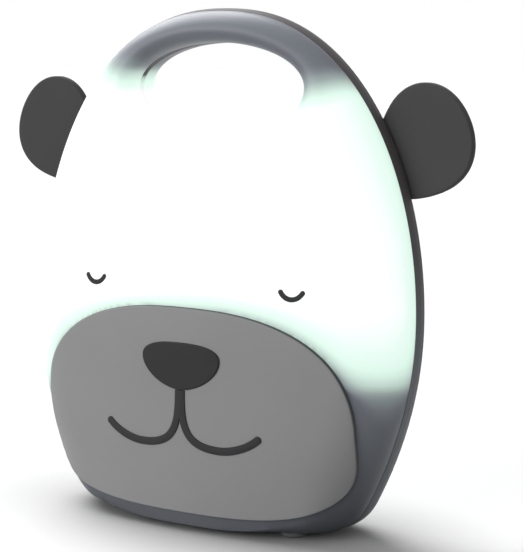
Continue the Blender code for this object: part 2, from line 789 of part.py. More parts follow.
def strip(path, half_widths, under, over):
    """Line on the face along a path of (x, z) points."""
    left, right = line_edges(path, half_widths)
    count = len(left)
    cells = [[i, i + 1, count + i + 1, count + i] for i in range(count - 1)]
    return on_face(np.concatenate([left, right]), cells, under, over)


def round_end(before, end, width, steps=3):
    """Points and half widths that continue a line past its end, to round it off."""
    radius = width / 2
    ahead = np.array(end) - np.array(before)
    ahead /= np.linalg.norm(ahead)
    turns = [math.radians(75) * (i + 1) / steps for i in range(steps)]
    points = [np.array(end) + ahead * radius * math.sin(turn) for turn in turns]
    return points, [radius * math.cos(turn) for turn in turns]


def rounded_line(points, width):
    """Path and half widths of a line whose two ends are round."""
    first, first_widths = round_end(points[1], points[0], width)
    last, last_widths = round_end(points[-2], points[-1], width)
    path = [*reversed(first), *points, *last]
    return path, [*reversed(first_widths), *[width / 2] * len(points), *last_widths]


def bezier(points, steps):
    """Smooth curve through control points, for the mouth and the eyes."""
    result = []
    for i in range(steps + 1):
        t = i / steps
        left = [np.array(p) for p in points]
        while len(left) > 1:
            left = [a + (b - a) * t for a, b in zip(left, left[1:])]
        result.append(left[0])
    return result


def case_screw_places():
    """Name, x and z of every case screw, worked in from the lamp's outline."""
    places = []
    for name, height, inset in CASE_SCREW_PLACES:
        for word, side in (("left", -1), ("right", 1)):
            places.append((f"{name}_{word}", side * (half_width(height) - inset), height))
    return places


def muzzle_loop(grow=0.0):
    return ellipse_power(
        MUZZLE_HALF_WIDTH + grow,
        MUZZLE_TOP_HEIGHT - MUZZLE_MIDDLE_HEIGHT + grow,
        MUZZLE_MIDDLE_HEIGHT - MUZZLE_BOTTOM_HEIGHT + grow,
        MUZZLE_MIDDLE_HEIGHT,
        MUZZLE_TOP_POWER,
        MUZZLE_BOTTOM_POWER,
        48,
    )


def muzzle_peg_places():
    x = MUZZLE_HALF_WIDTH * 0.6
    rise = (MUZZLE_TOP_HEIGHT - MUZZLE_MIDDLE_HEIGHT) * 0.5
    fall = (MUZZLE_MIDDLE_HEIGHT - MUZZLE_BOTTOM_HEIGHT) * 0.5
    heights = (MUZZLE_MIDDLE_HEIGHT + rise, MUZZLE_MIDDLE_HEIGHT - fall)
    return [(side * x, z) for side in (-1, 1) for z in heights]


def ear_loop(side, grow=0.0):
    """Ear's outline: a round plate with a tab that reaches in between the frame and the rear shell."""
    tab_low = EAR_HEIGHT - EAR_TAB_HALF_WIDTH - grow
    tab_high = EAR_HEIGHT + EAR_TAB_HALF_WIDTH + grow
    loop = []
    for i in range(EAR_SIDES):
        turn = 2 * math.pi * i / EAR_SIDES
        radius = 1.0
        for wave, cosine, sine in EAR_WAVE_shares:
            radius += cosine * math.cos(wave * turn) + sine * math.sin(wave * turn)
        radius = EAR_RADIUS * radius + grow
        x = EAR_X + radius * math.cos(turn)
        z = EAR_HEIGHT + radius * math.sin(turn)
        in_tab = tab_low < z < tab_high and math.cos(turn) < 0
        if not in_tab:
            loop.append((x, z))
        elif i == EAR_SIDES // 2:
            end = EAR_TAB_END_X - grow
            loop += [
                (end + EAR_TAB_HALF_WIDTH, tab_high),
                (end + EAR_TAB_HALF_WIDTH * 0.3, tab_high - EAR_TAB_HALF_WIDTH * 0.3),
                (end, tab_high - EAR_TAB_HALF_WIDTH * 0.8),
                (end, tab_low + EAR_TAB_HALF_WIDTH * 0.8),
                (end + EAR_TAB_HALF_WIDTH * 0.3, tab_low + EAR_TAB_HALF_WIDTH * 0.3),
                (end + EAR_TAB_HALF_WIDTH, tab_low),
            ]
    return np.array([(side * x, z) for x, z in loop])


def ear_pin_places():
    return [(EAR_PIN_X, EAR_HEIGHT + step * EAR_PIN_SPREAD) for step in (-1, 1)]


def make_frame():
    """Dark middle frame: a plate with a window, and a flange round all but the base."""
    rows = [
        at_depth(inset_loop(LOOP, rim_insets(LOOP, FLANGE_SLOPE_WIDTH)), FRONT_BASE),
        at_depth(LOOP, FRONT_BASE + rim_insets(LOOP, FLANGE_SLOPE_DEPTH)),
        at_depth(LOOP, SEAM),
    ]
    frame = add_object("frame", torus_of(rows, closed=False, split=True), DARK_PLASTIC)
    inside = inset_loop(LOOP, rim_insets(LOOP, FRONT_INSET) - GAP)
    tray = prism(inside, FRONT_BASE - OVERRUN, SEAM - FRAME_PLATE)
    combine(frame, "DIFFERENCE", add_object("cut_frame_tray", tray))
    hole = prism(HOLE, FRONT_BASE - OVERRUN, SEAM + OVERRUN)
    combine(frame, "DIFFERENCE", add_object("cut_frame_handle", hole))
    window = ellipse_power(
        WINDOW_HALF_WIDTH,
        WINDOW_HALF_HEIGHT,
        WINDOW_HALF_HEIGHT,
        WINDOW_HEIGHT,
        WINDOW_POWER,
        WINDOW_POWER,
        48,
    )
    shape = prism(window, FRONT_BASE - OVERRUN, SEAM + OVERRUN)
    combine(frame, "DIFFERENCE", add_object("cut_frame_window", shape))
    notch = box(
        (-BAY_OUTER - 2 * GAP, FRONT_BASE - OVERRUN, BAY_FLOOR_LOW - GAP),
        (BAY_OUTER + 2 * GAP, SEAM + OVERRUN, WINDOW_HEIGHT),
    )
    combine(frame, "DIFFERENCE", add_object("cut_frame_bay", notch))
    radius = SCREW_SHANK_RADIUS + GAP
    holes = [
        rod("Y", (x, SEAM, z), -FRAME_DEPTH - OVERRUN, OVERRUN, radius)
        for _, x, z in case_screw_places()
    ]
    x, z = chassis_screw_place()
    holes += [
        rod("Y", (side * x, SEAM, z), -FRAME_DEPTH - OVERRUN, OVERRUN, SMALL_SHANK_RADIUS + GAP)
        for side in (-1, 1)
    ]
    combine(frame, "DIFFERENCE", add_object("cut_frame_screws", merged(holes)))
    pins = [
        rod("Y", (side * x, SEAM, z), -FRAME_PLATE / 2, EAR_THICKNESS, EAR_PIN_RADIUS)
        for side in (-1, 1)
        for x, z in ear_pin_places()
    ]
    combine(frame, "UNION", add_object("join_frame_pins", merged(pins)))
    return frame


def make_front_shell():
    """Translucent front shell with screw bosses, peg holes, eye grooves and foot recesses."""
    shell = add_object("front_shell", shell_bmesh(-1), SHELL_PLASTIC)
    bosses = add_object(
        "join_front_bosses",
        merged(
            rod("Y", (x, FRONT_RIM, z), -FRONT_REACH, -GAP, FRONT_BOSS_RADIUS)
            for _, x, z in case_screw_places()
        ),
    )
    combine(bosses, "INTERSECT", add_object("trim_front_bosses", core_bmesh(-1)))
    combine(shell, "UNION", bosses)
    tip = SCREW_LENGTH - SCREW_SEAT_DEPTH + GAP
    cuts = [
        rod("Y", (x, SEAM, z), -tip - GAP, OVERRUN, SCREW_SHANK_RADIUS + GAP)
        for _, x, z in case_screw_places()
    ]
    for x, z in muzzle_peg_places():
        place = (x, front_y(x, z), z)
        cuts.append(rod("Y", place, -OVERRUN, PEG_LENGTH + OVERRUN, PEG_RADIUS + GAP))
    for side in (-1, 1):
        place = (side * FOOT_X, SEAM + FRONT_FOOT_OFFSET, FOOT_LIFT)
        cuts.append(rod("Z", place, -OVERRUN, FOOT_RECESS, FOOT_RADIUS + GAP, ROUND_SIDES))
        cuts.append(eye_bmesh(side, EYE_LINE_WIDTH + 2 * GAP, -EYE_GROOVE, OVERRUN))
    combine(shell, "DIFFERENCE", add_object("cut_front_shell", merged(cuts)))
    return shell


def eye_bmesh(side, width, under, over):
    top = EYE_TOP_HEIGHT
    low = EYE_TOP_HEIGHT - EYE_SAG / BEZIER_REACH_share
    x = side * EYE_X
    ends = [
        (x - EYE_HALF_WIDTH, top),
        (x - EYE_HALF_WIDTH * 0.5, low),
        (x + EYE_HALF_WIDTH * 0.5, low),
        (x + EYE_HALF_WIDTH, top),
    ]
    path, widths = rounded_line(bezier(ends, 8), width)
    return strip(path, widths, under, over)


def make_eyes():
    for word, side in (("left", -1), ("right", 1)):
        low = GAP - EYE_GROOVE
        shape = eye_bmesh(side, EYE_LINE_WIDTH, low, low + EYE_THICKNESS)
        add_object(f"eye_{word}", shape, FEATURE_PLASTIC)


def nose_loop(grow=0.0):
    """Egg-shaped outline, rounder below than above."""
    return ellipse_power(
        NOSE_HALF_WIDTH + grow,
        NOSE_TOP_HEIGHT - NOSE_MIDDLE_HEIGHT + grow,
        NOSE_MIDDLE_HEIGHT - NOSE_BOTTOM_HEIGHT + grow,
        NOSE_MIDDLE_HEIGHT,
        NOSE_TOP_POWER,
        NOSE_BOTTOM_POWER,
        28,
    )


def nose_bmesh(grow, under, over):
    return patch(nose_loop(grow), (0.0, NOSE_MIDDLE_HEIGHT), (1.0, 0.6, 0.1), under, over)


def mouth_bmesh(grow, under, over):
    """Two strokes that run down side by side from the nose, then part into a smile."""
    width = MOUTH_LINE_WIDTH + 2 * grow
    down = bezier(
        [
            (MOUTH_TOP_X, MOUTH_TOP_HEIGHT + grow),
            (MOUTH_TOP_X, MOUTH_BEND_HEIGHT),
            (MOUTH_BEND_X, MOUTH_LOW_HEIGHT),
            (MOUTH_LOW_X, MOUTH_LOW_HEIGHT),
        ],
        9,
    )
    across = MOUTH_END_X - MOUTH_LOW_X
    up = bezier(
        [
            (MOUTH_LOW_X, MOUTH_LOW_HEIGHT),
            (MOUTH_LOW_X + across * 0.4, MOUTH_LOW_HEIGHT),
            (MOUTH_END_X - across * 0.2, (MOUTH_LOW_HEIGHT + MOUTH_END_HEIGHT) / 2),
            (MOUTH_END_X, MOUTH_END_HEIGHT),
        ],
        6,
    )
    curve = down + up[1:]
    tip, tip_widths = round_end(curve[-2], curve[-1], width)
    outer, inner = line_edges(curve + tip, [width / 2] * len(curve) + tip_widths)
    joined = inner[:, 0] < grow
    inner[joined, 0] = 0.0
    count = len(outer)
    points = np.concatenate([outer, inner, outer * (-1, 1), inner * (-1, 1)])
    right = [[i, i + 1, count + i + 1, count + i] for i in range(count - 1)]
    left = [[2 * count + i for i in cell] for cell in right]
    twin = {3 * count + i: count + i for i in range(count) if joined[i]}
    cells = right + [[twin.get(i, i) for i in cell] for cell in left]
    used = sorted({i for cell in cells for i in cell})
    place = {old: new for new, old in enumerate(used)}
    return on_face(points[used], [[place[i] for i in cell] for cell in cells], under, over)


def make_muzzle():
    """Raised grey plate on the lower face, held by pegs through the front shell."""
    scales = (1.0, 0.955, 0.89, 0.79, 0.6, 0.35, 0.1)
    top = GAP + MUZZLE_THICKNESS
    plate = patch(muzzle_loop(), (0.0, MUZZLE_MIDDLE_HEIGHT), scales, -MUZZLE_THICKNESS, top)
    panel = add_object("muzzle_panel", plate, MUZZLE_PLASTIC)
    combine(panel, "DIFFERENCE", add_object("cut_muzzle_back", core_bmesh(-1, -GAP)))
    pegs = [
        rod("Y", (x, front_y(x, z), z), -GAP - MUZZLE_THICKNESS / 2, PEG_LENGTH, PEG_RADIUS)
        for x, z in muzzle_peg_places()
    ]
    combine(panel, "UNION", add_object("join_muzzle_pegs", merged(pegs)))
    groove = nose_bmesh(GAP, top - NOSE_GROOVE, top + OVERRUN)
    combine(panel, "DIFFERENCE", add_object("cut_muzzle_nose", groove))
    groove = mouth_bmesh(GAP, top - MOUTH_GROOVE, top + OVERRUN)
    combine(panel, "DIFFERENCE", add_object("cut_muzzle_mouth", groove))
    low = top - NOSE_GROOVE + GAP
    add_object("nose", nose_bmesh(0.0, low, low + NOSE_THICKNESS), FEATURE_PLASTIC)
    low = top - MOUTH_GROOVE + GAP
    add_object("mouth", mouth_bmesh(0.0, low, low + MOUTH_THICKNESS), FEATURE_PLASTIC)


def make_ears():
    for word, side in (("left", -1), ("right", 1)):
        plate = prism(ear_loop(side), SEAM + GAP, SEAM + GAP + EAR_THICKNESS)
        ear = add_object(f"ear_{word}", plate, EAR_SILICONE)
        holes = merged(
            rod("Y", (side * x, SEAM, z), -OVERRUN, EAR_THICKNESS + OVERRUN, EAR_PIN_RADIUS + GAP)
            for x, z in ear_pin_places()
        )
        combine(ear, "DIFFERENCE", add_object(f"cut_ear_{word}", holes))
        soften(ear, EAR_EDGE_ROUND)


def control_places():
    return (
        ("power", POWER_BUTTON_X, POWER_BUTTON_RADIUS),
        ("timer", TIMER_BUTTON_X, TIMER_BUTTON_RADIUS),
    )


def make_rear_shell():
    """Translucent rear shell with screw wells, ear pockets, battery opening and button holes."""
    shell = add_object("rear_shell", shell_bmesh(1), SHELL_PLASTIC)
    board_face = MAIN_BOARD_OFFSET + BOARD_THICKNESS + GAP
    posts = [
        rod("Y", (x, REAR_RIM, z), GAP, REAR_REACH, REAR_BOSS_RADIUS, ROUND_SIDES)
        for _, x, z in case_screw_places()
    ]
    posts += [
        rod("Y", (side * BOARD_SCREW_X, SEAM, CONTROL_HEIGHT), board_face, REAR_REACH, BOARD_BOSS_RADIUS)
        for side in (-1, 1)
    ]
    bosses = add_object("join_rear_bosses", merged(posts))
    combine(bosses, "INTERSECT", add_object("trim_rear_bosses", core_bmesh(1)))
    combine(shell, "UNION", bosses)
    well = SCREW_SEAT_DEPTH - GAP
    cuts = [
        turned(
            [
                (-OVERRUN, SCREW_SHANK_RADIUS + GAP),
                (well, SCREW_SHANK_RADIUS + GAP),
                (well, SCREW_HEAD_RADIUS + GAP),
                (REAR_REACH + OVERRUN, SCREW_HEAD_RADIUS + GAP),
            ],
            "Y",
            (x, SEAM, z),
        )
        for _, x, z in case_screw_places()
    ]
    depth = board_face + BOARD_SCREW_LENGTH
    cuts += [
        rod("Y", (side * BOARD_SCREW_X, SEAM, CONTROL_HEIGHT), 0.0, depth, SMALL_SHANK_RADIUS + GAP)
        for side in (-1, 1)
    ]
    for _, x, radius in control_places():
        place = (x, SEAM, CONTROL_HEIGHT)
        cuts.append(rod("Y", place, board_face, REAR_REACH + OVERRUN, radius + GAP, ROUND_SIDES))
    cuts.append(
        box(
            (-DOOR_HALF_WIDTH - GAP, CELL_Y, DOOR_LOW - GAP),
            (DOOR_HALF_WIDTH + GAP, SEAM + REAR_REACH + OVERRUN, DOOR_HIGH + GAP),
        )
    )
    for side in (-1, 1):
        place = (side * FOOT_X, SEAM + REAR_FOOT_OFFSET, FOOT_LIFT)
        cuts.append(rod("Z", place, -OVERRUN, FOOT_RECESS, FOOT_RADIUS + GAP, ROUND_SIDES))
        cuts.append(prism(ear_loop(side, GAP), SEAM - OVERRUN, SEAM + EAR_THICKNESS + 2 * GAP))
    combine(shell, "DIFFERENCE", add_object("cut_rear_shell", merged(cuts)))
    return shell


def make_feet():
    top = FOOT_LIFT + FOOT_RECESS - GAP
    for row, offset in (("front", FRONT_FOOT_OFFSET), ("rear", REAR_FOOT_OFFSET)):
        for word, side in (("left", -1), ("right", 1)):
            place = (side * FOOT_X, SEAM + offset, 0.0)
            foot = rod("Z", place, 0.0, top, FOOT_RADIUS, ROUND_SIDES)
            add_object(f"foot_{row}_{word}", foot, FOOT_RUBBER)


def plan_loop(half_x, front, rear):
    """Outline of the shelf and the reflector seen from above, as (x, y) points."""
    loop = ellipse_power(half_x, rear, front, SEAM, SHELF_POWER, SHELF_POWER, 40)
    return loop


def plan_prism(loop, low, high):
    rows = [[(float(x), float(y), level) for x, y in loop] for level in (low, high)]
    return torus_of(rows, closed=False)


def lug_outer_x():
    return half_width(SHELF_LOW) - FRONT_INSET - WALL - 2 * GAP


def chassis_screw_place():
    return lug_outer_x() - LUG_SCREW_MARGIN, SHELF_HIGH + LUG_HEIGHT / 2


def light_places():
    first = -(LIGHT_COUNT - 1) / 2 * LIGHT_PITCH
    return [(first + i * LIGHT_PITCH, SEAM + LIGHT_ROW_OFFSET) for i in range(LIGHT_COUNT)]


def make_chassis():
    """Opaque shelf with the battery bay under it, lugs to the frame and a lug for the door screw."""
    shelf = plan_prism(
        plan_loop(SHELF_HALF_WIDTH, SHELF_FRONT_DEPTH, SHELF_REAR_DEPTH), SHELF_LOW, SHELF_HIGH
    )
    chassis = add_object("chassis", shelf, CHASSIS_PLASTIC)
    front = SEAM + BAY_FRONT_OFFSET
    rear = CELL_Y + CELL_RADIUS + GAP
    top = SHELF_HIGH - SHELF_THICKNESS / 2
    x, z = chassis_screw_place()
    lug_face = FRONT_RIM
    joins = [
        box((-BAY_OUTER, front, BAY_FLOOR_LOW), (-BAY_INNER, rear, top)),
        box((BAY_INNER, front, BAY_FLOOR_LOW), (BAY_OUTER, rear, top)),
        box((-BAY_OUTER, front, BAY_FLOOR_LOW), (BAY_OUTER, front + BAY_WALL, top)),
        box((-BAY_OUTER, front, BAY_FLOOR_LOW), (BAY_OUTER, rear, BAY_FLOOR_HIGH)),
        box(
            (-DOOR_LUG_HALF_WIDTH, SEAM + DOOR_LUG_FRONT_OFFSET, top),
            (DOOR_LUG_HALF_WIDTH, SEAM + SHELF_REAR_DEPTH - GAP, SHELF_HIGH + DOOR_LUG_HEIGHT),
        ),
    ]
    for side in (-1, 1):
        ends = sorted((side * LUG_INNER_X, side * lug_outer_x()))
        low = (ends[0], lug_face - LUG_THICKNESS, SHELF_LOW)
        joins.append(box(low, (ends[1], lug_face, SHELF_HIGH + LUG_HEIGHT)))
    for i, shape in enumerate(joins):
        combine(chassis, "UNION", add_object(f"join_chassis_{i}", shape))
    cuts = [
        rod("Y", (side * x, lug_face, z), -LUG_THICKNESS - OVERRUN, OVERRUN, SMALL_SHANK_RADIUS + GAP)
        for side in (-1, 1)
    ]
    place = (0.0, SEAM + SHELF_REAR_DEPTH - GAP, DOOR_SCREW_HEIGHT)
    cuts.append(rod("Y", place, -DOOR_SCREW_LENGTH, OVERRUN, SCREW_SHANK_RADIUS + GAP))
    row = SEAM + LIGHT_ROW_OFFSET
    for side in (-1, 1):
        place = (side * LIGHT_SCREW_X, row, SHELF_HIGH)
        cuts.append(rod("Z", place, -SHELF_THICKNESS - OVERRUN, OVERRUN, SMALL_SHANK_RADIUS + GAP))
        place = (side * LEAD_X, SEAM + LEAD_OFFSET, SHELF_HIGH)
        cuts.append(rod("Z", place, -SHELF_THICKNESS - OVERRUN, OVERRUN, LEAD_HOLE_RADIUS))
    combine(chassis, "DIFFERENCE", add_object("cut_chassis", merged(cuts)))
    slots = []
    for side, cell in ((-1, 0), (1, CELL_COUNT - 1)):
        z = FIRST_CELL_Z + cell * CELL_PITCH
        half = CONTACT_TAB_WIDTH / 2 + GAP
        y = SEAM + LEAD_OFFSET
        ends = sorted((side * (BAY_INNER - OVERRUN), side * (BAY_OUTER + OVERRUN)))
        slots.append(box((ends[0], y - half, z - half), (ends[1], y + half, z + half)))
    combine(chassis, "DIFFERENCE", add_object("cut_chassis_slots", merged(slots)))
    return chassis


def make_cells():
    """Cells lie across the lamp, each turned the other way from the one below."""
    for i in range(CELL_COUNT):
        side = 1 if i % 2 == 0 else -1
        z = FIRST_CELL_Z + i * CELL_PITCH
        tip = side * (BAY_INNER - GAP - CONTACT_THICKNESS - GAP)
        profile = [
            (tip - side * CELL_LENGTH, CELL_RADIUS),
            (tip - side * CELL_NUB_LENGTH, CELL_RADIUS),
            (tip - side * CELL_NUB_LENGTH, CELL_NUB_RADIUS),
            (tip, CELL_NUB_RADIUS),
        ]
        cell = turned(profile, "X", (0.0, CELL_Y, z), ROUND_SIDES)
        add_object(f"cell_{i + 1}", cell, CELL_WRAP)


def make_contacts():
    """Plates at both ends of the bay: two ends with solder tabs and two links between cells."""
    inner = BAY_INNER - GAP
    half = CONTACT_HALF_WIDTH
    plates = (
        ("contact_negative", -1, 0, 0, True),
        ("contact_link_left", -1, 1, 2, False),
        ("contact_link_right", 1, 0, 1, False),
        ("contact_positive", 1, 2, 2, True),
    )
    for name, side, low_cell, high_cell, has_tab in plates:
        low = FIRST_CELL_Z + low_cell * CELL_PITCH - half
        high = FIRST_CELL_Z + high_cell * CELL_PITCH + half
        ends = sorted((side * (inner - CONTACT_THICKNESS), side * inner))
        shape = box((ends[0], CELL_Y - half, low), (ends[1], CELL_Y + half, high))
        plate = add_object(name, shape, STEEL)
        if has_tab:
            middle = FIRST_CELL_Z + low_cell * CELL_PITCH
            y = SEAM + LEAD_OFFSET
            width = CONTACT_TAB_WIDTH / 2
            start = inner - CONTACT_THICKNESS / 2
            ends = sorted((side * start, side * (BAY_OUTER + CONTACT_THICKNESS + GAP)))
            tab = box((ends[0], y - width, middle - width), (ends[1], y + width, middle + width))
            combine(plate, "UNION", add_object(f"join_{name}", tab))


def make_springs():
    """Coil behind each cell's flat end, wide at the contact plate and narrow at the cell."""
    inner = BAY_INNER - GAP - CONTACT_THICKNESS - GAP
    for i in range(CELL_COUNT):
        side = -1 if i % 2 == 0 else 1
        z = FIRST_CELL_Z + i * CELL_PITCH
        steps = SPRING_TURNS * 10
        curve = bpy.data.curves.new(f"cell_spring_{i + 1}", "CURVE")
        curve.dimensions = "3D"
        curve.bevel_depth = SPRING_WIRE_RADIUS
        curve.bevel_resolution = 1
        curve.use_fill_caps = True
        line = curve.splines.new("POLY")
        line.points.add(steps)
        for n in range(steps + 1):
            share = n / steps
            turn = 2 * math.pi * SPRING_TURNS * share
            radius = SPRING_RADIUS + (SPRING_TIP_RADIUS - SPRING_RADIUS) * share
            along = SPRING_WIRE_RADIUS + (SPRING_LENGTH - 2 * SPRING_WIRE_RADIUS) * share
            x = side * (inner - along)
            y = CELL_Y + radius * math.cos(turn)
            line.points[n].co = (x, y, z + radius * math.sin(turn), 1.0)
        curve.materials.append(material(f"cell_spring_{i + 1}", STEEL))
        spring = bpy.data.objects.new(f"cell_spring_{i + 1}", curve)
        bpy.context.scene.collection.objects.link(spring)


def make_light_unit():
    """Board on the shelf with its row of lights, and the white reflector that lies over it."""
    board = box(
        (-LIGHT_BOARD_HALF_WIDTH, SEAM - LIGHT_BOARD_FRONT, LIGHT_BOARD_LOW),
        (LIGHT_BOARD_HALF_WIDTH, SEAM + LIGHT_BOARD_REAR, LIGHT_BOARD_HIGH),
    )
    light_board = add_object("light_board", board, BOARD_GREEN)
    row = SEAM + LIGHT_ROW_OFFSET
    holes = merged(
        rod(
            "Z",
            (side * LIGHT_SCREW_X, row, LIGHT_BOARD_LOW),
            -OVERRUN,
            BOARD_THICKNESS + OVERRUN,
            SMALL_SHANK_RADIUS + GAP,
        )
        for side in (-1, 1)
    )
    combine(light_board, "DIFFERENCE", add_object("cut_light_board", holes))
    loop = plan_loop(REFLECTOR_HALF_WIDTH, REFLECTOR_FRONT_DEPTH, REFLECTOR_REAR_DEPTH)
    plate = plan_prism(loop, REFLECTOR_LOW, REFLECTOR_HIGH)
    reflector = add_object("reflector", plate, WHITE_PLASTIC)
    half = LIGHT_SIDE / 2
    room = half + 2 * GAP
    cuts = []
    for i, (x, y) in enumerate(light_places()):
        low = LIGHT_BOARD_HIGH + GAP
        light = box((x - half, y - half, low), (x + half, y + half, low + LIGHT_HEIGHT))
        add_object(f"light_{i + 1}", light, LIGHT_RESIN)
        cuts.append(
            box(
                (x - room, y - room, REFLECTOR_LOW - OVERRUN),
                (x + room, y + room, REFLECTOR_HIGH + OVERRUN),
            )
        )
    for word, side in (("left", -1), ("right", 1)):
        place = (side * LIGHT_SCREW_X, row, REFLECTOR_HIGH)
        cuts.append(rod("Z", place, -OVERRUN, OVERRUN, SMALL_SHANK_RADIUS + GAP))
        tip = SHELF_LOW - REFLECTOR_HIGH
        screw = turned(
            [
                (tip, SMALL_SHANK_RADIUS),
                (GAP, SMALL_SHANK_RADIUS),
                (GAP, SMALL_HEAD_RADIUS),
                (GAP + SMALL_HEAD_THICKNESS, SMALL_HEAD_RADIUS),
            ],
            "Z",
            place,
        )
        add_object(f"light_screw_{word}", screw, STEEL)
    combine(reflector, "DIFFERENCE", add_object("cut_reflector", merged(cuts)))


def make_case_screws():
    head = SCREW_SEAT_DEPTH
    for name, x, z in case_screw_places():
        profile = [
            (head - SCREW_LENGTH, SCREW_SHANK_RADIUS),
            (head, SCREW_SHANK_RADIUS),
            (head, SCREW_HEAD_RADIUS),
            (head + SCREW_HEAD_THICKNESS, SCREW_HEAD_RADIUS),
        ]
        add_object(f"case_screw_{name}", turned(profile, "Y", (x, SEAM, z)), STEEL)


def make_chassis_screws():
    x, z = chassis_screw_place()
    face = FRONT_RIM - LUG_THICKNESS - GAP
    for word, side in (("left", -1), ("right", 1)):
        profile = [
            (-SMALL_HEAD_THICKNESS, SMALL_HEAD_RADIUS),
            (0.0, SMALL_HEAD_RADIUS),
            (0.0, SMALL_SHANK_RADIUS),
            (CHASSIS_SCREW_LENGTH, SMALL_SHANK_RADIUS),
        ]
        screw = turned(profile, "Y", (side * x, face, z))
        add_object(f"chassis_screw_{word}", screw, STEEL)


def make_main_board():
    """Board behind the buttons with two switches and a chip, screwed to posts of the rear shell."""
    front = SEAM + MAIN_BOARD_OFFSET
    rear = front + BOARD_THICKNESS
    shape = box(
        (-MAIN_BOARD_HALF_WIDTH, front, MAIN_BOARD_LOW),
        (MAIN_BOARD_HALF_WIDTH, rear, MAIN_BOARD_HIGH),
    )
    board = add_object("main_board", shape, BOARD_GREEN)
    holes = merged(
        rod(
            "Y",
            (side * BOARD_SCREW_X, front, CONTROL_HEIGHT),
            -OVERRUN,
            BOARD_THICKNESS + OVERRUN,
            SMALL_SHANK_RADIUS + GAP,
        )
        for side in (-1, 1)
    )
    combine(board, "DIFFERENCE", add_object("cut_main_board", holes))
    for word, side in (("left", -1), ("right", 1)):
        profile = [
            (-GAP - SMALL_HEAD_THICKNESS, SMALL_HEAD_RADIUS),
            (-GAP, SMALL_HEAD_RADIUS),
            (-GAP, SMALL_SHANK_RADIUS),
            (BOARD_THICKNESS + BOARD_SCREW_LENGTH, SMALL_SHANK_RADIUS),
        ]
        screw = turned(profile, "Y", (side * BOARD_SCREW_X, front, CONTROL_HEIGHT))
        add_object(f"board_screw_{word}", screw, STEEL)
    half = CHIP_SIDE / 2
    middle = MAIN_BOARD_LOW + CHIP_SIDE
    chip = box(
        (-half, front - GAP - CHIP_THICKNESS, middle - half), (half, front - GAP, middle + half)
    )
    add_object("controller_chip", chip, CHIP_BLACK)
    half = SWITCH_SIDE / 2
    for name, x, _ in control_places():
        low = rear + GAP
        body = box(
            (x - half, low, CONTROL_HEIGHT - half),
            (x + half, low + SWITCH_BODY, CONTROL_HEIGHT + half),
        )
        switch = add_object(f"{name}_switch", body, CHIP_BLACK)
        plunger = rod(
            "Y",
            (x, low, CONTROL_HEIGHT),
            SWITCH_BODY / 2,
            SWITCH_BODY + SWITCH_PLUNGER,
            SWITCH_PLUNGER_RADIUS,
        )
        combine(switch, "UNION", add_object(f"join_{name}_switch", plunger))


def make_buttons():
    """Round buttons in the rear shell, each with a flange inside that stops it at its hole."""
    switch_tip = SEAM + MAIN_BOARD_OFFSET + BOARD_THICKNESS + GAP + SWITCH_BODY + SWITCH_PLUNGER
    for name, x, radius in control_places():
        reach = abs(x) + radius + BUTTON_FLANGE
        wall_face = rear_y(reach, CONTROL_HEIGHT + radius + BUTTON_FLANGE, -WALL)
        flange_rear = wall_face - 2 * GAP
        flange_front = flange_rear - BUTTON_FLANGE_THICKNESS
        tip = min(switch_tip + BUTTON_TRAVEL + GAP, flange_front - GAP)
        top = rear_y(x, CONTROL_HEIGHT, BUTTON_PROUD)
        profile = [
            (tip - flange_rear, radius / 2),
            (flange_front - flange_rear, radius / 2),
            (flange_front - flange_rear, radius + BUTTON_FLANGE),
            (0.0, radius + BUTTON_FLANGE),
            (0.0, radius),
            (top - flange_rear - BUTTON_EDGE_ROUND, radius),
            (top - flange_rear, radius - BUTTON_EDGE_ROUND),
        ]
        place = (x, flange_rear, CONTROL_HEIGHT)
        button = turned(profile, "Y", place, ROUND_SIDES)
        add_object(f"{name}_button", button, DARK_PLASTIC, origin=place)


def make_battery_door():
    """Door that follows the rear shell's surface, with its screw and the foam pad inside it."""
    columns = np.linspace(-DOOR_HALF_WIDTH, DOOR_HALF_WIDTH, 9)
    rows = np.linspace(DOOR_LOW, DOOR_HIGH, 11)
    points = np.array([(x, z) for z in rows for x in columns])
    width = len(columns)
    corners = [r * width + c for r in range(len(rows) - 1) for c in range(width - 1)]
    cells = [[i, i + 1, i + width + 1, i + width] for i in corners]
    surface = REAR_BASE + rear_height(points)
    shape = slab(points, cells, surface - WALL, surface)
    origin = (0.0, rear_y(0.0, DOOR_LOW), DOOR_LOW)
    door = add_object("battery_door", shape, DARK_PLASTIC, origin=origin)
    face = rear_y(0.0, DOOR_SCREW_HEIGHT)
    seat = -DOOR_SINK
    place = (0.0, face, DOOR_SCREW_HEIGHT)
    well = turned(
        [
            (-WALL - OVERRUN, SCREW_SHANK_RADIUS + GAP),
            (seat, SCREW_SHANK_RADIUS + GAP),
            (seat, SCREW_HEAD_RADIUS + GAP),
            (OVERRUN, SCREW_HEAD_RADIUS + GAP),
        ],
        "Y",
        place,
    )
    combine(door, "DIFFERENCE", add_object("cut_battery_door", well))
    seat += GAP
    profile = [
        (seat - DOOR_SCREW_LENGTH, SCREW_SHANK_RADIUS),
        (seat, SCREW_SHANK_RADIUS),
        (seat, SCREW_HEAD_RADIUS),
        (0.0, SCREW_HEAD_RADIUS),
    ]
    add_object("door_screw", turned(profile, "Y", place), STEEL)
    inside = rear_y(PAD_HALF_WIDTH, PAD_LOW, -WALL - GAP)
    pad = box(
        (-PAD_HALF_WIDTH, CELL_Y + CELL_RADIUS + GAP, PAD_LOW), (PAD_HALF_WIDTH, inside, PAD_HIGH)
    )
    add_object("door_pad", pad, FOAM)


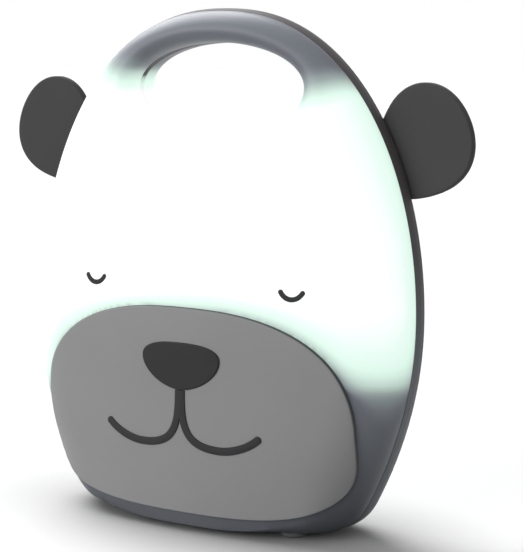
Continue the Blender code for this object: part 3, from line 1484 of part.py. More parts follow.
def make_line(name, look, points):
    """Thin insulated lead along a list of points."""
    curve = bpy.data.curves.new(name, "CURVE")
    curve.dimensions = "3D"
    curve.bevel_depth = LEAD_RADIUS
    curve.bevel_resolution = 1
    curve.use_fill_caps = True
    line = curve.splines.new("POLY")
    line.points.add(len(points) - 1)
    for place, point in zip(line.points, points):
        place.co = (*point, 1.0)
    curve.materials.append(material(name, look))
    lead = bpy.data.objects.new(name, curve)
    bpy.context.scene.collection.objects.link(lead)


def rising_bend(x, y, z, end_x, end_y, end_z):
    """Lead's route that leaves its start and meets its end straight up."""
    middle = (z + end_z) / 2
    route = bezier([(x, y, z), (x, y, middle), (end_x, end_y, middle), (end_x, end_y, end_z)], 9)
    return [tuple(point) for point in route]


def make_leads():
    """Leads from the bay's two end contacts to the main board, and from it to the light board."""
    y = SEAM + LEAD_OFFSET
    board_y = SEAM + MAIN_BOARD_OFFSET + BOARD_THICKNESS / 2
    board_z = MAIN_BOARD_LOW - GAP
    above = SHELF_HIGH + 4 * LEAD_RADIUS
    for name, look, side, cell in (
        ("battery_lead_negative", BLACK_INSULATION, -1, 0),
        ("battery_lead_positive", RED_INSULATION, 1, CELL_COUNT - 1),
    ):
        x = side * LEAD_X
        end = side * MAIN_BOARD_HALF_WIDTH * 0.6
        low = FIRST_CELL_Z + cell * CELL_PITCH
        bend = rising_bend(x, y, above, end, board_y, board_z)
        make_line(name, look, [(x, y, low)] + bend)
    rear_edge = SEAM + (LIGHT_BOARD_REAR + REFLECTOR_REAR_DEPTH) / 2 + GAP
    side = DOOR_LUG_HALF_WIDTH + 6 * LEAD_RADIUS
    top = LIGHT_BOARD_HIGH + GAP
    bend = rising_bend(side, rear_edge, top, side, board_y, board_z)
    make_line("light_lead", RED_INSULATION, bend)


clear_scene()
make_frame()
make_front_shell()
make_rear_shell()
make_eyes()
make_muzzle()
make_ears()
make_feet()
make_chassis()
make_cells()
make_contacts()
make_springs()
make_light_unit()
make_main_board()
make_buttons()
make_battery_door()
make_leads()
make_case_screws()
make_chassis_screws()
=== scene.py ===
"""Bear-faced portable night light, dressed for its studio picture.

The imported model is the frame. The outer mouldings are modelled again here with a fine surface on
the same sizes, and the parts inside keep their CAD shape and get their finishes. Metres, +Z up,
the face looks to -Y.
"""
import json
import logging
import math
from dataclasses import dataclass, field
from enum import Enum
from typing import Any, Callable, Iterable, Sequence

import bpy
import numpy as np
from mathutils import Matrix, Vector


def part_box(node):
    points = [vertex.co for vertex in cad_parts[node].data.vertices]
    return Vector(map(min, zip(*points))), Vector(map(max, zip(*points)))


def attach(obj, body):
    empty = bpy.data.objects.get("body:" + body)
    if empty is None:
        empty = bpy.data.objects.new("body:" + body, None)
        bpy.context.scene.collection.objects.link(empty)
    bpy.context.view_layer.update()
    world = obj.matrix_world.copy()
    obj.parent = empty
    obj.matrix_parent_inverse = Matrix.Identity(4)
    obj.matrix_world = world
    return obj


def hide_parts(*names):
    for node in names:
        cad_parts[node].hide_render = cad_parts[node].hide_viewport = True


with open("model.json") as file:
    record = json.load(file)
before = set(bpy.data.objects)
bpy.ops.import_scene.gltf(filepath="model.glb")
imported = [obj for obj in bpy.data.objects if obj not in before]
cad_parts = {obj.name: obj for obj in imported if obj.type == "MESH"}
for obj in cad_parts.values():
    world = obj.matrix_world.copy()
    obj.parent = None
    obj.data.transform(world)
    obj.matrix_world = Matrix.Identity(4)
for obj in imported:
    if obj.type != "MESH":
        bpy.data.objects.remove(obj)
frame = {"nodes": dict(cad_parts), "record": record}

LOG = logging.getLogger("night_light")
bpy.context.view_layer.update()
MM = 0.001
GAP = 0.3 * MM
WELD = 1e-6
TINY = 1e-9
SIDES = {"left": -1, "right": 1}
# Sockets of a Mix node that mixes colours.
COLOUR_A, COLOUR_B, COLOUR_OUT = 6, 7, 2


class Axis(Enum):
    """Axis that a turned piece is turned about."""

    X = "X"
    Y = "Y"
    Z = "Z"


class Side(Enum):
    """Half of the case: the front shell looks to -Y and the rear shell to +Y."""

    FRONT = -1
    REAR = 1


def linear(code: str) -> tuple[float, float, float, float]:
    """Turns an sRGB hex colour into the linear values that a shader takes.

    Args:
        code: Colour such as "#8B8B8B".

    Returns:
        Red, green, blue and an alpha of one.
    """
    channels = [int(code[i : i + 2], 16) / 255 for i in (1, 3, 5)]
    red, green, blue = (
        c / 12.92 if c <= 0.04045 else ((c + 0.055) / 1.055) ** 2.4 for c in channels
    )
    return red, green, blue, 1.0


def smooth_step(share: Any) -> Any:
    """Eases a share from 0 to 1, flat at both ends.

    Args:
        share: A number or an array.

    Returns:
        The eased value, between 0 and 1.
    """
    share = np.clip(share, 0.0, 1.0)
    return share * share * (3 - 2 * share)


def round_over(share: Any) -> Any:
    """Quarter of an ellipse, from 0 at the rim to 1 where the rounding ends.

    Args:
        share: A number or an array.

    Returns:
        The height as a share.
    """
    return np.sqrt(1 - (1 - np.clip(share, 0.0, 1.0)) ** 2)


def soft_round(share: Any, power: float = 2.6) -> Any:
    """Rounding that runs out without a crease, a little squarer than a quarter of an ellipse.

    Args:
        share: A number or an array.
        power: Squareness, above 2.

    Returns:
        The height as a share.
    """
    return (1 - (1 - np.clip(share, 0.0, 1.0)) ** power) ** (1 / power)


def solve(
    low: float, high: float, wants_higher: Callable[[float], bool], halvings: int = 50
) -> float:
    """Halves a range until it holds one value.

    Args:
        low: Lower end of the range.
        high: Upper end of the range.
        wants_higher: Says whether the value lies above the one it is given.
        halvings: How often the range is halved.

    Returns:
        The value found.
    """
    for _ in range(halvings):
        middle = (low + high) / 2
        if wants_higher(middle):
            low = middle
        else:
            high = middle
    return (low + high) / 2


def at_depth(flat: np.ndarray, depth: Any) -> np.ndarray:
    """Gives flat points their depth.

    Args:
        flat: Points as x and z.
        depth: One y, or one for each point.

    Returns:
        The points as x, y and z.
    """
    return np.stack([flat[:, 0], np.broadcast_to(depth, len(flat)), flat[:, 1]], axis=1)


def looped(rows: Any) -> np.ndarray:
    """Table of rows that close on themselves.

    Args:
        rows: Rows of points, or a table of them.

    Returns:
        The table with its first column repeated at its end.
    """
    table = np.asarray(rows)
    return np.concatenate([table, table[:, :1]], axis=1)


def rounded_outline(
    sizes: tuple[float, float, float], middle: float, powers: tuple[float, float], sides: int
) -> np.ndarray:
    """Rounded outline with its own height and squareness above and below.

    Args:
        sizes: Half width, rise and fall.
        middle: Height that both halves meet at.
        powers: Squareness above and below.
        sides: How many points.

    Returns:
        Points as x and z.
    """
    half, rise, fall = sizes
    points = []
    for i in range(sides):
        turn = 2 * math.pi * i / sides
        cosine, sine = math.cos(turn), math.sin(turn)
        power, tall = (powers[0], rise) if sine >= 0 else (powers[1], fall)
        x = math.copysign(half * abs(cosine) ** (2 / power), cosine)
        points.append((x, middle + math.copysign(tall * abs(sine) ** (2 / power), sine)))
    return np.array(points)


def bezier(points: Sequence[tuple[float, float]], steps: int) -> list[np.ndarray]:
    """Smooth curve through control points.

    Args:
        points: Control points as x and z.
        steps: How many steps.

    Returns:
        Points of the curve.
    """
    result = []
    for i in range(steps + 1):
        t = i / steps
        left = [np.array(p) for p in points]
        while len(left) > 1:
            left = [a + (b - a) * t for a, b in zip(left, left[1:])]
        result.append(left[0])
    return result


@dataclass(frozen=True)
class ShellSizes:
    """Sizes of one shell of the case."""

    side: Side
    depth: float
    handle_depth: float
    sweep: float
    inset: float
    side_round: float
    top_round: float
    hole_round: float
    curl: float


FRONT = ShellSizes(
    side=Side.FRONT,
    depth=25.2 * MM,
    handle_depth=14.5 * MM,
    sweep=300 * MM,
    inset=1.0 * MM,
    side_round=20 * MM,
    top_round=30 * MM,
    hole_round=12 * MM,
    curl=0.5,
)
REAR = ShellSizes(
    side=Side.REAR,
    depth=16.7 * MM,
    handle_depth=14.0 * MM,
    sweep=400 * MM,
    inset=2.0 * MM,
    side_round=26 * MM,
    top_round=26 * MM,
    hole_round=5 * MM,
    curl=0.0,
)


@dataclass
class CaseShape:
    """Outline of the lamp, its handle hole and the surfaces of its two shells."""

    height: float = 200 * MM
    half: float = 86.3 * MM
    widest: float = 84 * MM
    lift: float = 1 * MM
    corner: float = 23 * MM
    taper: float = 25.3 * MM
    side_power: float = 2.24
    base_step: float = 20 * MM
    hole_half: tuple[float, float] = (39.0 * MM, 17.3 * MM)
    hole_height: float = 169.5 * MM
    plate: float = 2.8 * MM
    band: float = 5.8 * MM
    skirt: float = 1 * MM
    wall: float = 2.2 * MM
    slope: tuple[float, float] = (70 * MM, 170 * MM)
    curl_height: float = 45 * MM
    base_round: float = 1.2 * MM
    base_flat: float = 15 * MM
    base_spread: float = 60 * MM
    sweep: float = math.radians(105)
    steps: tuple[int, int, int, int, int] = (72, 28, 16, 16, 12)
    batches: int = 8
    seam: float = field(init=False)
    loop: np.ndarray = field(init=False)
    hole: np.ndarray = field(init=False)

    def __post_init__(self) -> None:
        """Reads the seam from the frame and works out both outlines."""
        self.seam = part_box("front_shell")[1].y + self.plate + GAP
        self.loop = self.outline()
        self.hole = self.hole_outline()

    @property
    def front_base(self) -> float:
        """Depth that the front shell's surface rises from."""
        return self.seam - self.band

    @property
    def rear_base(self) -> float:
        """Depth that the rear shell's surface rises from."""
        return self.seam + GAP + self.skirt

    def crown(self, angle: float) -> tuple[float, float]:
        """Point of the upper outline.

        Args:
            angle: Its angle, from 0 at the widest height to a quarter turn at the top.

        Returns:
            The point's x and z.
        """
        rise = self.height - self.widest
        x = self.half * math.cos(angle) ** (2 / self.side_power)
        return x, self.widest + rise * math.sin(angle)

    def half_width(self, height: float) -> float:
        """Half the lamp's width at a height.

        Args:
            height: Height over the floor.

        Returns:
            The half width there.
        """
        if height < self.widest:
            drop = (self.widest - height) / self.widest
            return self.half - self.taper * drop * drop
        climb = (height - self.widest) / (self.height - self.widest)
        return self.half * (1 - climb**2) ** (1 / self.side_power)

    def base_corner(self) -> tuple[float, tuple[float, float]]:
        """Where the side meets the base corner.

        Returns:
            The height there, and the x and z of the corner's middle.
        """

        def middle_of(height: float) -> tuple[float, float]:
            """Finds the middle of a corner that touches the side at a height.

            Args:
                height: Height of the touching point.

            Returns:
                The middle's x and z.
            """
            slope = 2 * self.taper * (self.widest - height) / self.widest**2
            length = math.hypot(1.0, slope)
            x = self.half_width(height) - self.corner / length
            return x, height + self.corner * slope / length

        target = self.lift + self.corner
        height = solve(self.lift, self.widest, lambda z: middle_of(z)[1] < target)
        return height, middle_of(height)

    def closed(self, half: Sequence[tuple[float, float]]) -> np.ndarray:
        """Closes a right half that starts and ends on the middle plane.

        Args:
            half: Points from the top to the bottom.

        Returns:
            The whole loop of points.
        """
        return np.array(list(half) + [(-x, z) for x, z in reversed(half[1:-1])])

    def outline(self) -> np.ndarray:
        """Whole outline of the lamp, clockwise from the top of the handle.

        Returns:
            Points as x and z.
        """
        handle, crown, side, corner, base = self.steps
        points = [(0.0, self.height)]
        angle = math.pi / 2

        def aim_at(turn: float) -> float:
            """Direction of a crown point, as the handle hole sees it."""
            x, z = self.crown(turn)
            return math.atan2(x / self.hole_half[0], (z - self.hole_height) / self.hole_half[1])

        for i in range(1, handle + 1):
            aim = self.sweep * i / handle
            angle = solve(0.0, math.pi / 2, lambda turn: aim_at(turn) > aim)
            points.append(self.crown(angle))
        points += [self.crown(angle * (1 - i / crown)) for i in range(1, crown + 1)]
        start, middle = self.base_corner()
        for i in range(1, side + 1):
            height = self.widest + (start - self.widest) * i / side
            points.append((self.half_width(height), height))
        first = math.atan2(start - middle[1], self.half_width(start) - middle[0])
        for i in range(1, corner + 1):
            turn = first + (-math.pi / 2 - first) * i / corner
            x = middle[0] + self.corner * math.cos(turn)
            points.append((x, middle[1] + self.corner * math.sin(turn)))
        points += [(middle[0] * (1 - i / base), self.lift) for i in range(1, base + 1)]
        return self.closed(points)

    def hole_outline(self) -> np.ndarray:
        """Edge of the handle hole, each point matching one of the outline.

        Returns:
            Points as x and z.
        """
        handle = self.steps[0]
        rest = sum(self.steps[1:])
        angles = [self.sweep * i / handle for i in range(handle + 1)]
        angles += [self.sweep + (math.pi - self.sweep) * i / rest for i in range(1, rest + 1)]
        wide, tall = self.hole_half
        half = [(wide * math.sin(a), self.hole_height + tall * math.cos(a)) for a in angles]
        half[-1] = (0.0, self.hole_height - tall)
        return self.closed(half)

    @staticmethod
    def inward(loop: np.ndarray) -> np.ndarray:
        """Unit normals of a loop, towards its middle.

        Args:
            loop: Points of the loop.

        Returns:
            One normal for each point.
        """
        along = np.roll(loop, -1, axis=0) - np.roll(loop, 1, axis=0)
        normals = np.stack([along[:, 1], -along[:, 0]], axis=1)
        normals /= np.linalg.norm(normals, axis=1)[:, None]
        flip = np.sum((loop.mean(axis=0) - loop) * normals, axis=1) < 0
        normals[flip] *= -1
        return normals

    def inset(self, loop: np.ndarray, distance: Any) -> np.ndarray:
        """Moves a loop inwards.

        Args:
            loop: Points of the loop.
            distance: One distance, or one for each point.

        Returns:
            The moved loop.
        """
        return loop + self.inward(loop) * np.reshape(distance, (-1, 1))

    def rim_insets(self, inset: float) -> np.ndarray:
        """How far inside the outline a shell's rim runs: not at all along the flat base.

        Args:
            inset: The inset everywhere else.

        Returns:
            One inset for each point of the outline.
        """
        flat = self.base_corner()[1][0]
        beyond = np.clip((np.abs(self.loop[:, 0]) - flat) / self.base_step, 0.0, 1.0)
        return inset * np.where(self.loop[:, 1] > self.widest, 1.0, beyond)

    def rounds(self, shell: ShellSizes) -> np.ndarray:
        """Width of the edge rounding along the outline, tight along the base.

        Args:
            shell: The shell that the rounding is for.

        Returns:
            One width for each point of the outline.
        """
        x, z = np.abs(self.loop[:, 0]), self.loop[:, 1]
        climb = smooth_step((z - self.slope[0]) / (self.slope[1] - self.slope[0]))
        side = shell.side_round + (shell.top_round - shell.side_round) * climb
        spread = np.clip((x - self.base_flat) / self.base_spread, 0.0, 1.0)
        tight = np.where(z < self.widest, 1 - spread**2, 0.0)
        return side + (self.base_round - side) * tight

    def rim_distances(self, points: np.ndarray) -> np.ndarray:
        """Distance of each point to every short edge of the outline.

        Args:
            points: Points as x and z.

        Returns:
            One row for each point.
        """
        edge = np.roll(self.loop, -1, axis=0) - self.loop
        offset = points[:, None, :] - self.loop[None]
        share = np.clip(np.sum(offset * edge, axis=2) / np.sum(edge * edge, axis=1), 0.0, 1.0)
        return np.linalg.norm(offset - share[:, :, None] * edge[None], axis=2)

    def hole_distance(self, points: np.ndarray) -> np.ndarray:
        """Distance of each point to the handle hole's edge.

        Args:
            points: Points as x and z.

        Returns:
            One distance for each point.
        """
        wide, tall = self.hole_half
        x, z = points[:, 0], points[:, 1] - self.hole_height
        ring = np.sqrt((x / wide) ** 2 + (z / tall) ** 2)
        steep = np.sqrt((x / wide**2) ** 2 + (z / tall**2) ** 2)
        return (ring - 1) * ring / np.maximum(steep, TINY)

    def rise(self, shell: ShellSizes, points: np.ndarray, skin: float = 0.0) -> np.ndarray:
        """How far a shell's surface stands from its base plane.

        Args:
            shell: The shell.
            points: Points as x and z.
            skin: How deep inside the outer surface the wanted surface lies.

        Returns:
            One height for each point.
        """
        parts = np.array_split(points, self.batches)
        return np.concatenate([self.rise_of(shell, part, skin) for part in parts])

    def rise_of(self, shell: ShellSizes, points: np.ndarray, skin: float) -> np.ndarray:
        """Does the work of rise for one batch of points.

        Args:
            shell: The shell.
            points: Points as x and z.
            skin: How deep inside the outer surface the wanted surface lies.

        Returns:
            One height for each point.
        """
        x, z = points[:, 0], points[:, 1]
        body = smooth_step((self.slope[1] - z) / (self.slope[1] - self.slope[0]))
        depth = shell.handle_depth + (shell.depth - shell.handle_depth) * body
        curl = 1 + shell.curl * (1 - smooth_step(z / self.curl_height))
        depth = depth - x**2 / (2 * shell.sweep) * curl - skin
        insets, rounds = self.rim_insets(shell.inset), self.rounds(shell)
        insets = (insets + np.roll(insets, -1)) / 2
        widths = np.maximum((rounds + np.roll(rounds, -1)) / 2 - skin, GAP)
        shares = (self.rim_distances(points) - insets - skin) / widths
        hole = soft_round((self.hole_distance(points) - skin) / (shell.hole_round - skin))
        return depth * round_over(shares.min(axis=1)) * hole

    def face(self, points: np.ndarray, over: Any = 0.0) -> np.ndarray:
        """Puts flat points on the front shell.

        Args:
            points: Points as x and z.
            over: How far in front of the surface, one value or one for each point.

        Returns:
            The points as x, y and z.
        """
        return at_depth(points, self.front_base - self.rise(FRONT, points) - over)

    def back(self, points: np.ndarray, over: Any = 0.0) -> np.ndarray:
        """Puts flat points on the rear shell.

        Args:
            points: Points as x and z.
            over: How far behind the surface, one value or one for each point.

        Returns:
            The points as x, y and z.
        """
        return at_depth(points, self.rear_base + self.rise(REAR, points) + over)

    def back_at(self, x: float, z: float) -> float:
        """Depth of the rear shell's surface at one place.

        Args:
            x: Place across the lamp.
            z: Height over the floor.

        Returns:
            The surface's y.
        """
        return float(self.back(np.array([[x, z]]))[0, 1])

    def rings(
        self, shell: ShellSizes, skin: float, rim_steps: int, between: int, hole_steps: int
    ) -> list[np.ndarray]:
        """Loops of a shell's surface from its rim to the handle hole, close together at both.

        Args:
            shell: The shell.
            skin: How deep inside the outer surface the loops lie.
            rim_steps: Steps over the rounding at the rim.
            between: Loops over the middle.
            hole_steps: Steps over the rounding at the hole.

        Returns:
            The loops as x, y and z.
        """
        outer = self.inset(self.loop, self.rim_insets(shell.inset) + skin)
        inner = self.hole - self.inward(self.hole) * skin
        span = inner - outer
        length = np.linalg.norm(span, axis=1)
        rim = np.minimum(np.maximum(self.rounds(shell) - skin, GAP), length / 2) / length
        hole = np.minimum(shell.hole_round - skin, length / 2) / length
        at_rim, at_hole = (
            [1 - math.cos(math.pi / 2 * i / steps) for i in range(steps + 1)]
            for steps in (rim_steps, hole_steps)
        )
        places = [rim * share for share in at_rim]
        places += [rim + (1 - hole - rim) * i / (between + 1) for i in range(1, between + 1)]
        places += [1 - hole * share for share in reversed(at_hole)]
        base = self.front_base if shell.side is Side.FRONT else self.rear_base
        result = []
        for i, place in enumerate(places):
            flat = outer + span * place[:, None]
            edge = i in (0, len(places) - 1)
            height = 0.0 if edge else self.rise(shell, flat, skin)
            result.append(at_depth(flat, base + shell.side.value * height))
        return result


class Bench:
    """Modelling steps that every piece shares, done with Blender's operators."""

    @staticmethod
    def pick(obj: bpy.types.Object | None) -> None:
        """Leaves only one object selected and active.

        Args:
            obj: The object, or None to leave nothing selected.
        """
        if bpy.context.object and bpy.context.object.mode != "OBJECT":
            bpy.ops.object.mode_set(mode="OBJECT")
        for other in bpy.context.selected_objects:
            other.select_set(False)
        bpy.context.view_layer.objects.active = obj
        if obj is not None:
            obj.select_set(True)

    @staticmethod
    def edit_all(obj: bpy.types.Object) -> None:
        """Opens an object in edit mode with all of it selected.

        Args:
            obj: The object.
        """
        Bench.pick(obj)
        bpy.ops.object.mode_set(mode="EDIT")
        bpy.ops.mesh.select_all(action="SELECT")

    @staticmethod
    def weld(obj: bpy.types.Object, cap: bool = False) -> None:
        """Merges the seams of a piece and turns its faces outwards.

        Args:
            obj: The piece.
            cap: Whether open ends are closed with a face.
        """
        Bench.edit_all(obj)
        bpy.ops.mesh.remove_doubles(threshold=WELD)
        if cap:
            bpy.ops.mesh.fill_holes(sides=0)
        bpy.ops.mesh.normals_make_consistent(inside=False)
        bpy.ops.object.mode_set(mode="OBJECT")

    @staticmethod
    def net(name: str, table: np.ndarray, cap: bool = False) -> bpy.types.Object:
        """Lays a grid on a table of places, welds its seams and turns its faces outwards.

        Args:
            name: Name of the piece.
            table: Places as rows, columns and x, y, z.
            cap: Whether open ends are closed with a face.

        Returns:
            The piece.
        """
        rows, columns = table.shape[:2]
        Bench.pick(None)
        bpy.ops.mesh.primitive_grid_add(
            x_subdivisions=columns - 1, y_subdivisions=rows - 1, size=2.0
        )
        obj = bpy.context.active_object
        obj.name = obj.data.name = name
        flat = np.empty(len(obj.data.vertices) * 3)
        obj.data.vertices.foreach_get("co", flat)
        flat = flat.reshape(-1, 3)
        across = np.rint((flat[:, 0] + 1) / 2 * (columns - 1)).astype(int)
        down = np.rint((flat[:, 1] + 1) / 2 * (rows - 1)).astype(int)
        obj.data.vertices.foreach_set("co", table[down, across].ravel())
        obj.data.update()
        Bench.weld(obj, cap)
        return obj

    @staticmethod
    def turned(
        name: str,
        profile: Sequence[tuple[float, float]],
        at: Sequence[float],
        axis: Axis = Axis.Y,
        sides: int = 48,
    ) -> bpy.types.Object:
        """Draws a disc out along an axis, wider or narrower at each step.

        Args:
            name: Name of the piece.
            profile: Pairs of a place along the axis and a radius there.
            at: Where the axis starts.
            axis: The axis.
            sides: Sides of the disc.

        Returns:
            The piece.
        """
        Bench.pick(None)
        along, radius = profile[0]
        bpy.ops.mesh.primitive_circle_add(
            vertices=sides, radius=radius, fill_type="NGON", location=(0, 0, along)
        )
        obj = bpy.context.active_object
        obj.name = obj.data.name = name
        bpy.ops.object.transform_apply(location=True, rotation=True, scale=True)
        Bench.edit_all(obj)
        for next_along, next_radius in profile[1:]:
            bpy.ops.mesh.extrude_region_move(
                TRANSFORM_OT_translate={"value": (0, 0, next_along - along)}
            )
            share = next_radius / radius
            bpy.ops.transform.resize(value=(share, share, 1), center_override=(0, 0, next_along))
            along, radius = next_along, next_radius
        bpy.ops.mesh.select_all(action="SELECT")
        bpy.ops.mesh.normals_make_consistent(inside=False)
        bpy.ops.object.mode_set(mode="OBJECT")
        turns = {
            Axis.X: Matrix.Rotation(math.pi / 2, 4, "Y"),
            Axis.Y: Matrix.Rotation(-math.pi / 2, 4, "X"),
            Axis.Z: Matrix.Identity(4),
        }
        obj.matrix_world = Matrix.Translation(Vector(at)) @ turns[axis]
        bpy.ops.object.transform_apply(location=True, rotation=True, scale=True)
        return obj

    @staticmethod
    def block(
        name: str, low: Sequence[float], high: Sequence[float], width: float = 0.0
    ) -> bpy.types.Object:
        """Box between two corners.

        Args:
            name: Name of the piece.
            low: Lowest corner.
            high: Highest corner.
            width: Width that its edges are bevelled by.

        Returns:
            The piece.
        """
        Bench.pick(None)
        size = Vector(high) - Vector(low)
        middle = Vector(low) + size / 2
        bpy.ops.mesh.primitive_cube_add(size=1.0, location=middle, scale=size)
        obj = bpy.context.active_object
        obj.name = obj.data.name = name
        bpy.ops.object.transform_apply(location=True, rotation=True, scale=True)
        if width:
            Bench.edit_all(obj)
            bpy.ops.mesh.bevel(offset=width, segments=2, affect="EDGES")
            bpy.ops.object.mode_set(mode="OBJECT")
        return obj

    @staticmethod
    def combine(
        target: bpy.types.Object, others: Iterable[bpy.types.Object], operation: str = "DIFFERENCE"
    ) -> None:
        """Cuts other shapes out of a piece, or joins them on, and removes them.

        Args:
            target: The piece.
            others: The other shapes.
            operation: DIFFERENCE, UNION or INTERSECT.
        """
        for other in others:
            step = target.modifiers.new("combine", "BOOLEAN")
            step.operation = operation
            step.solver = "EXACT"
            step.object = other
            Bench.pick(target)
            bpy.ops.object.modifier_apply(modifier=step.name)
            bpy.data.objects.remove(other, do_unlink=True)

    @staticmethod
    def modify(obj: bpy.types.Object, kind: str, **settings: Any) -> None:
        """Adds a modifier with its settings and applies it.

        Args:
            obj: The piece.
            kind: Kind of the modifier.
            settings: Its settings by name.
        """
        step = obj.modifiers.new(kind.lower(), kind)
        for key, value in settings.items():
            setattr(step, key, value)
        Bench.pick(obj)
        bpy.ops.object.modifier_apply(modifier=step.name)


def add_node(
    tree: bpy.types.NodeTree,
    kind: str,
    inputs: dict[Any, Any] | Sequence[Any] = (),
    stops: Sequence[tuple[float, Sequence[float]]] = (),
    **settings: Any,
) -> bpy.types.Node:
    """Adds a shader node, with its settings and with its inputs set or linked.

    Args:
        tree: Node tree of the material.
        kind: Kind of the node, without the words ShaderNode.
        inputs: What feed takes, by the input's name or number, or in the order of the inputs.
        stops: Places and colours of a colour ramp, in order.
        settings: The node's own settings by name.

    Returns:
        The node.
    """
    node = tree.nodes.new("ShaderNode" + kind)
    for key, value in settings.items():
        setattr(node, key, value)
    for key, value in inputs.items() if isinstance(inputs, dict) else enumerate(inputs):
        feed(tree, node.inputs[key], value)
    if stops:
        elements = node.color_ramp.elements
        elements.remove(elements[1])
        elements[0].position, elements[0].color = stops[0]
        for place, colour in stops[1:]:
            elements.new(place).color = colour
    return node


def feed(tree: bpy.types.NodeTree, socket: bpy.types.NodeSocket, value: Any) -> None:
    """Sets an input or links it.

    Args:
        tree: Node tree of the material.
        socket: The input.
        value: A constant, a socket, or a node that stands for its first output.
    """
    if isinstance(value, bpy.types.Node):
        value = value.outputs[0]
    if isinstance(value, bpy.types.NodeSocket):
        tree.links.new(value, socket)
    else:
        socket.default_value = value


@dataclass(frozen=True)
class Finish:
    """Moulded plastic, and what all finishes share: two close tones, sheen and grain."""

    name: str
    colour: str
    shade: str
    roughness: float = 0.5
    metallic: float = 0.0
    ior: float = 1.5
    specular: float = 0.5
    cloud_mm: float = 30.0
    grain_mm: float = 0.6
    grain_depth_mm: float = 0.02
    grain_strength: float = 0.6
    sheen_spread: float = 0.06
    emission: float = 0.0

    def make(self) -> bpy.types.Material:
        """Makes the material, with its constants on the shader's own sockets.

        Returns:
            The material.
        """
        material = bpy.data.materials.new(self.name)
        material.use_nodes = True
        tree = material.node_tree
        inputs = {
            "Metallic": self.metallic,
            "IOR": self.ior,
            "Specular IOR Level": self.specular,
            "Roughness": self.roughness,
            "Emission Strength": self.emission,
            **self.looks(tree, add_node(tree, "TexCoord").outputs["Object"]),
        }
        for name, value in inputs.items():
            feed(tree, tree.nodes["Principled BSDF"].inputs[name], value)
        return material

    def looks(self, tree: bpy.types.NodeTree, place: bpy.types.NodeSocket) -> dict[str, Any]:
        """What varies over the piece.

        Args:
            tree: The node tree.
            place: Object coordinates.

        Returns:
            Nodes or sockets by the shader's input.
        """
        cloud = self.cloud(tree, place)
        return {"Base Color": self.tones(tree, cloud), **self.surface(tree, place, cloud)}

    def cloud(self, tree: bpy.types.NodeTree, place: bpy.types.NodeSocket) -> bpy.types.Node:
        """Slow variation from 0 to 1, as flow and handling leave it.

        Args:
            tree: The node tree.
            place: Object coordinates.

        Returns:
            The noise.
        """
        scale = 1 / (self.cloud_mm * MM)
        return add_node(tree, "TexNoise", {"Vector": place, "Scale": scale, "Detail": 3.0})

    def tones(self, tree: bpy.types.NodeTree, fac: Any) -> bpy.types.NodeSocket:
        """Colour between the finish's two tones.

        Args:
            tree: The node tree.
            fac: Share of the second tone.

        Returns:
            The colour's socket.
        """
        tones = {"Factor": fac, COLOUR_A: linear(self.colour), COLOUR_B: linear(self.shade)}
        return add_node(tree, "Mix", tones, data_type="RGBA").outputs[COLOUR_OUT]

    def surface(
        self, tree: bpy.types.NodeTree, place: bpy.types.NodeSocket, marks: Any
    ) -> dict[str, Any]:
        """Roughness that wanders round its middle value, and fine grain as a bump.

        Args:
            tree: The node tree.
            place: Object coordinates.
            marks: Variation from 0 to 1 that the roughness follows.

        Returns:
            Nodes by the shader's input.
        """
        smooth = max(self.roughness - self.sheen_spread, 0.05)
        rough = min(self.roughness + self.sheen_spread, 1.0)
        scale = 1 / (self.grain_mm * MM)
        grain = add_node(tree, "TexNoise", {"Vector": place, "Scale": scale, "Detail": 2.0})
        return {
            "Roughness": add_node(tree, "MapRange", (marks, 0.0, 1.0, smooth, rough)),
            "Normal": self.bump(tree, grain),
        }

    def bump(self, tree: bpy.types.NodeTree, height: Any) -> bpy.types.Node:
        """Bump as deep as the finish's grain.

        Args:
            tree: The node tree.
            height: Height from 0 to 1.

        Returns:
            The bump.
        """
        depth = self.grain_depth_mm * MM
        sizes = {"Height": height, "Distance": depth, "Strength": self.grain_strength}
        return add_node(tree, "Bump", sizes)


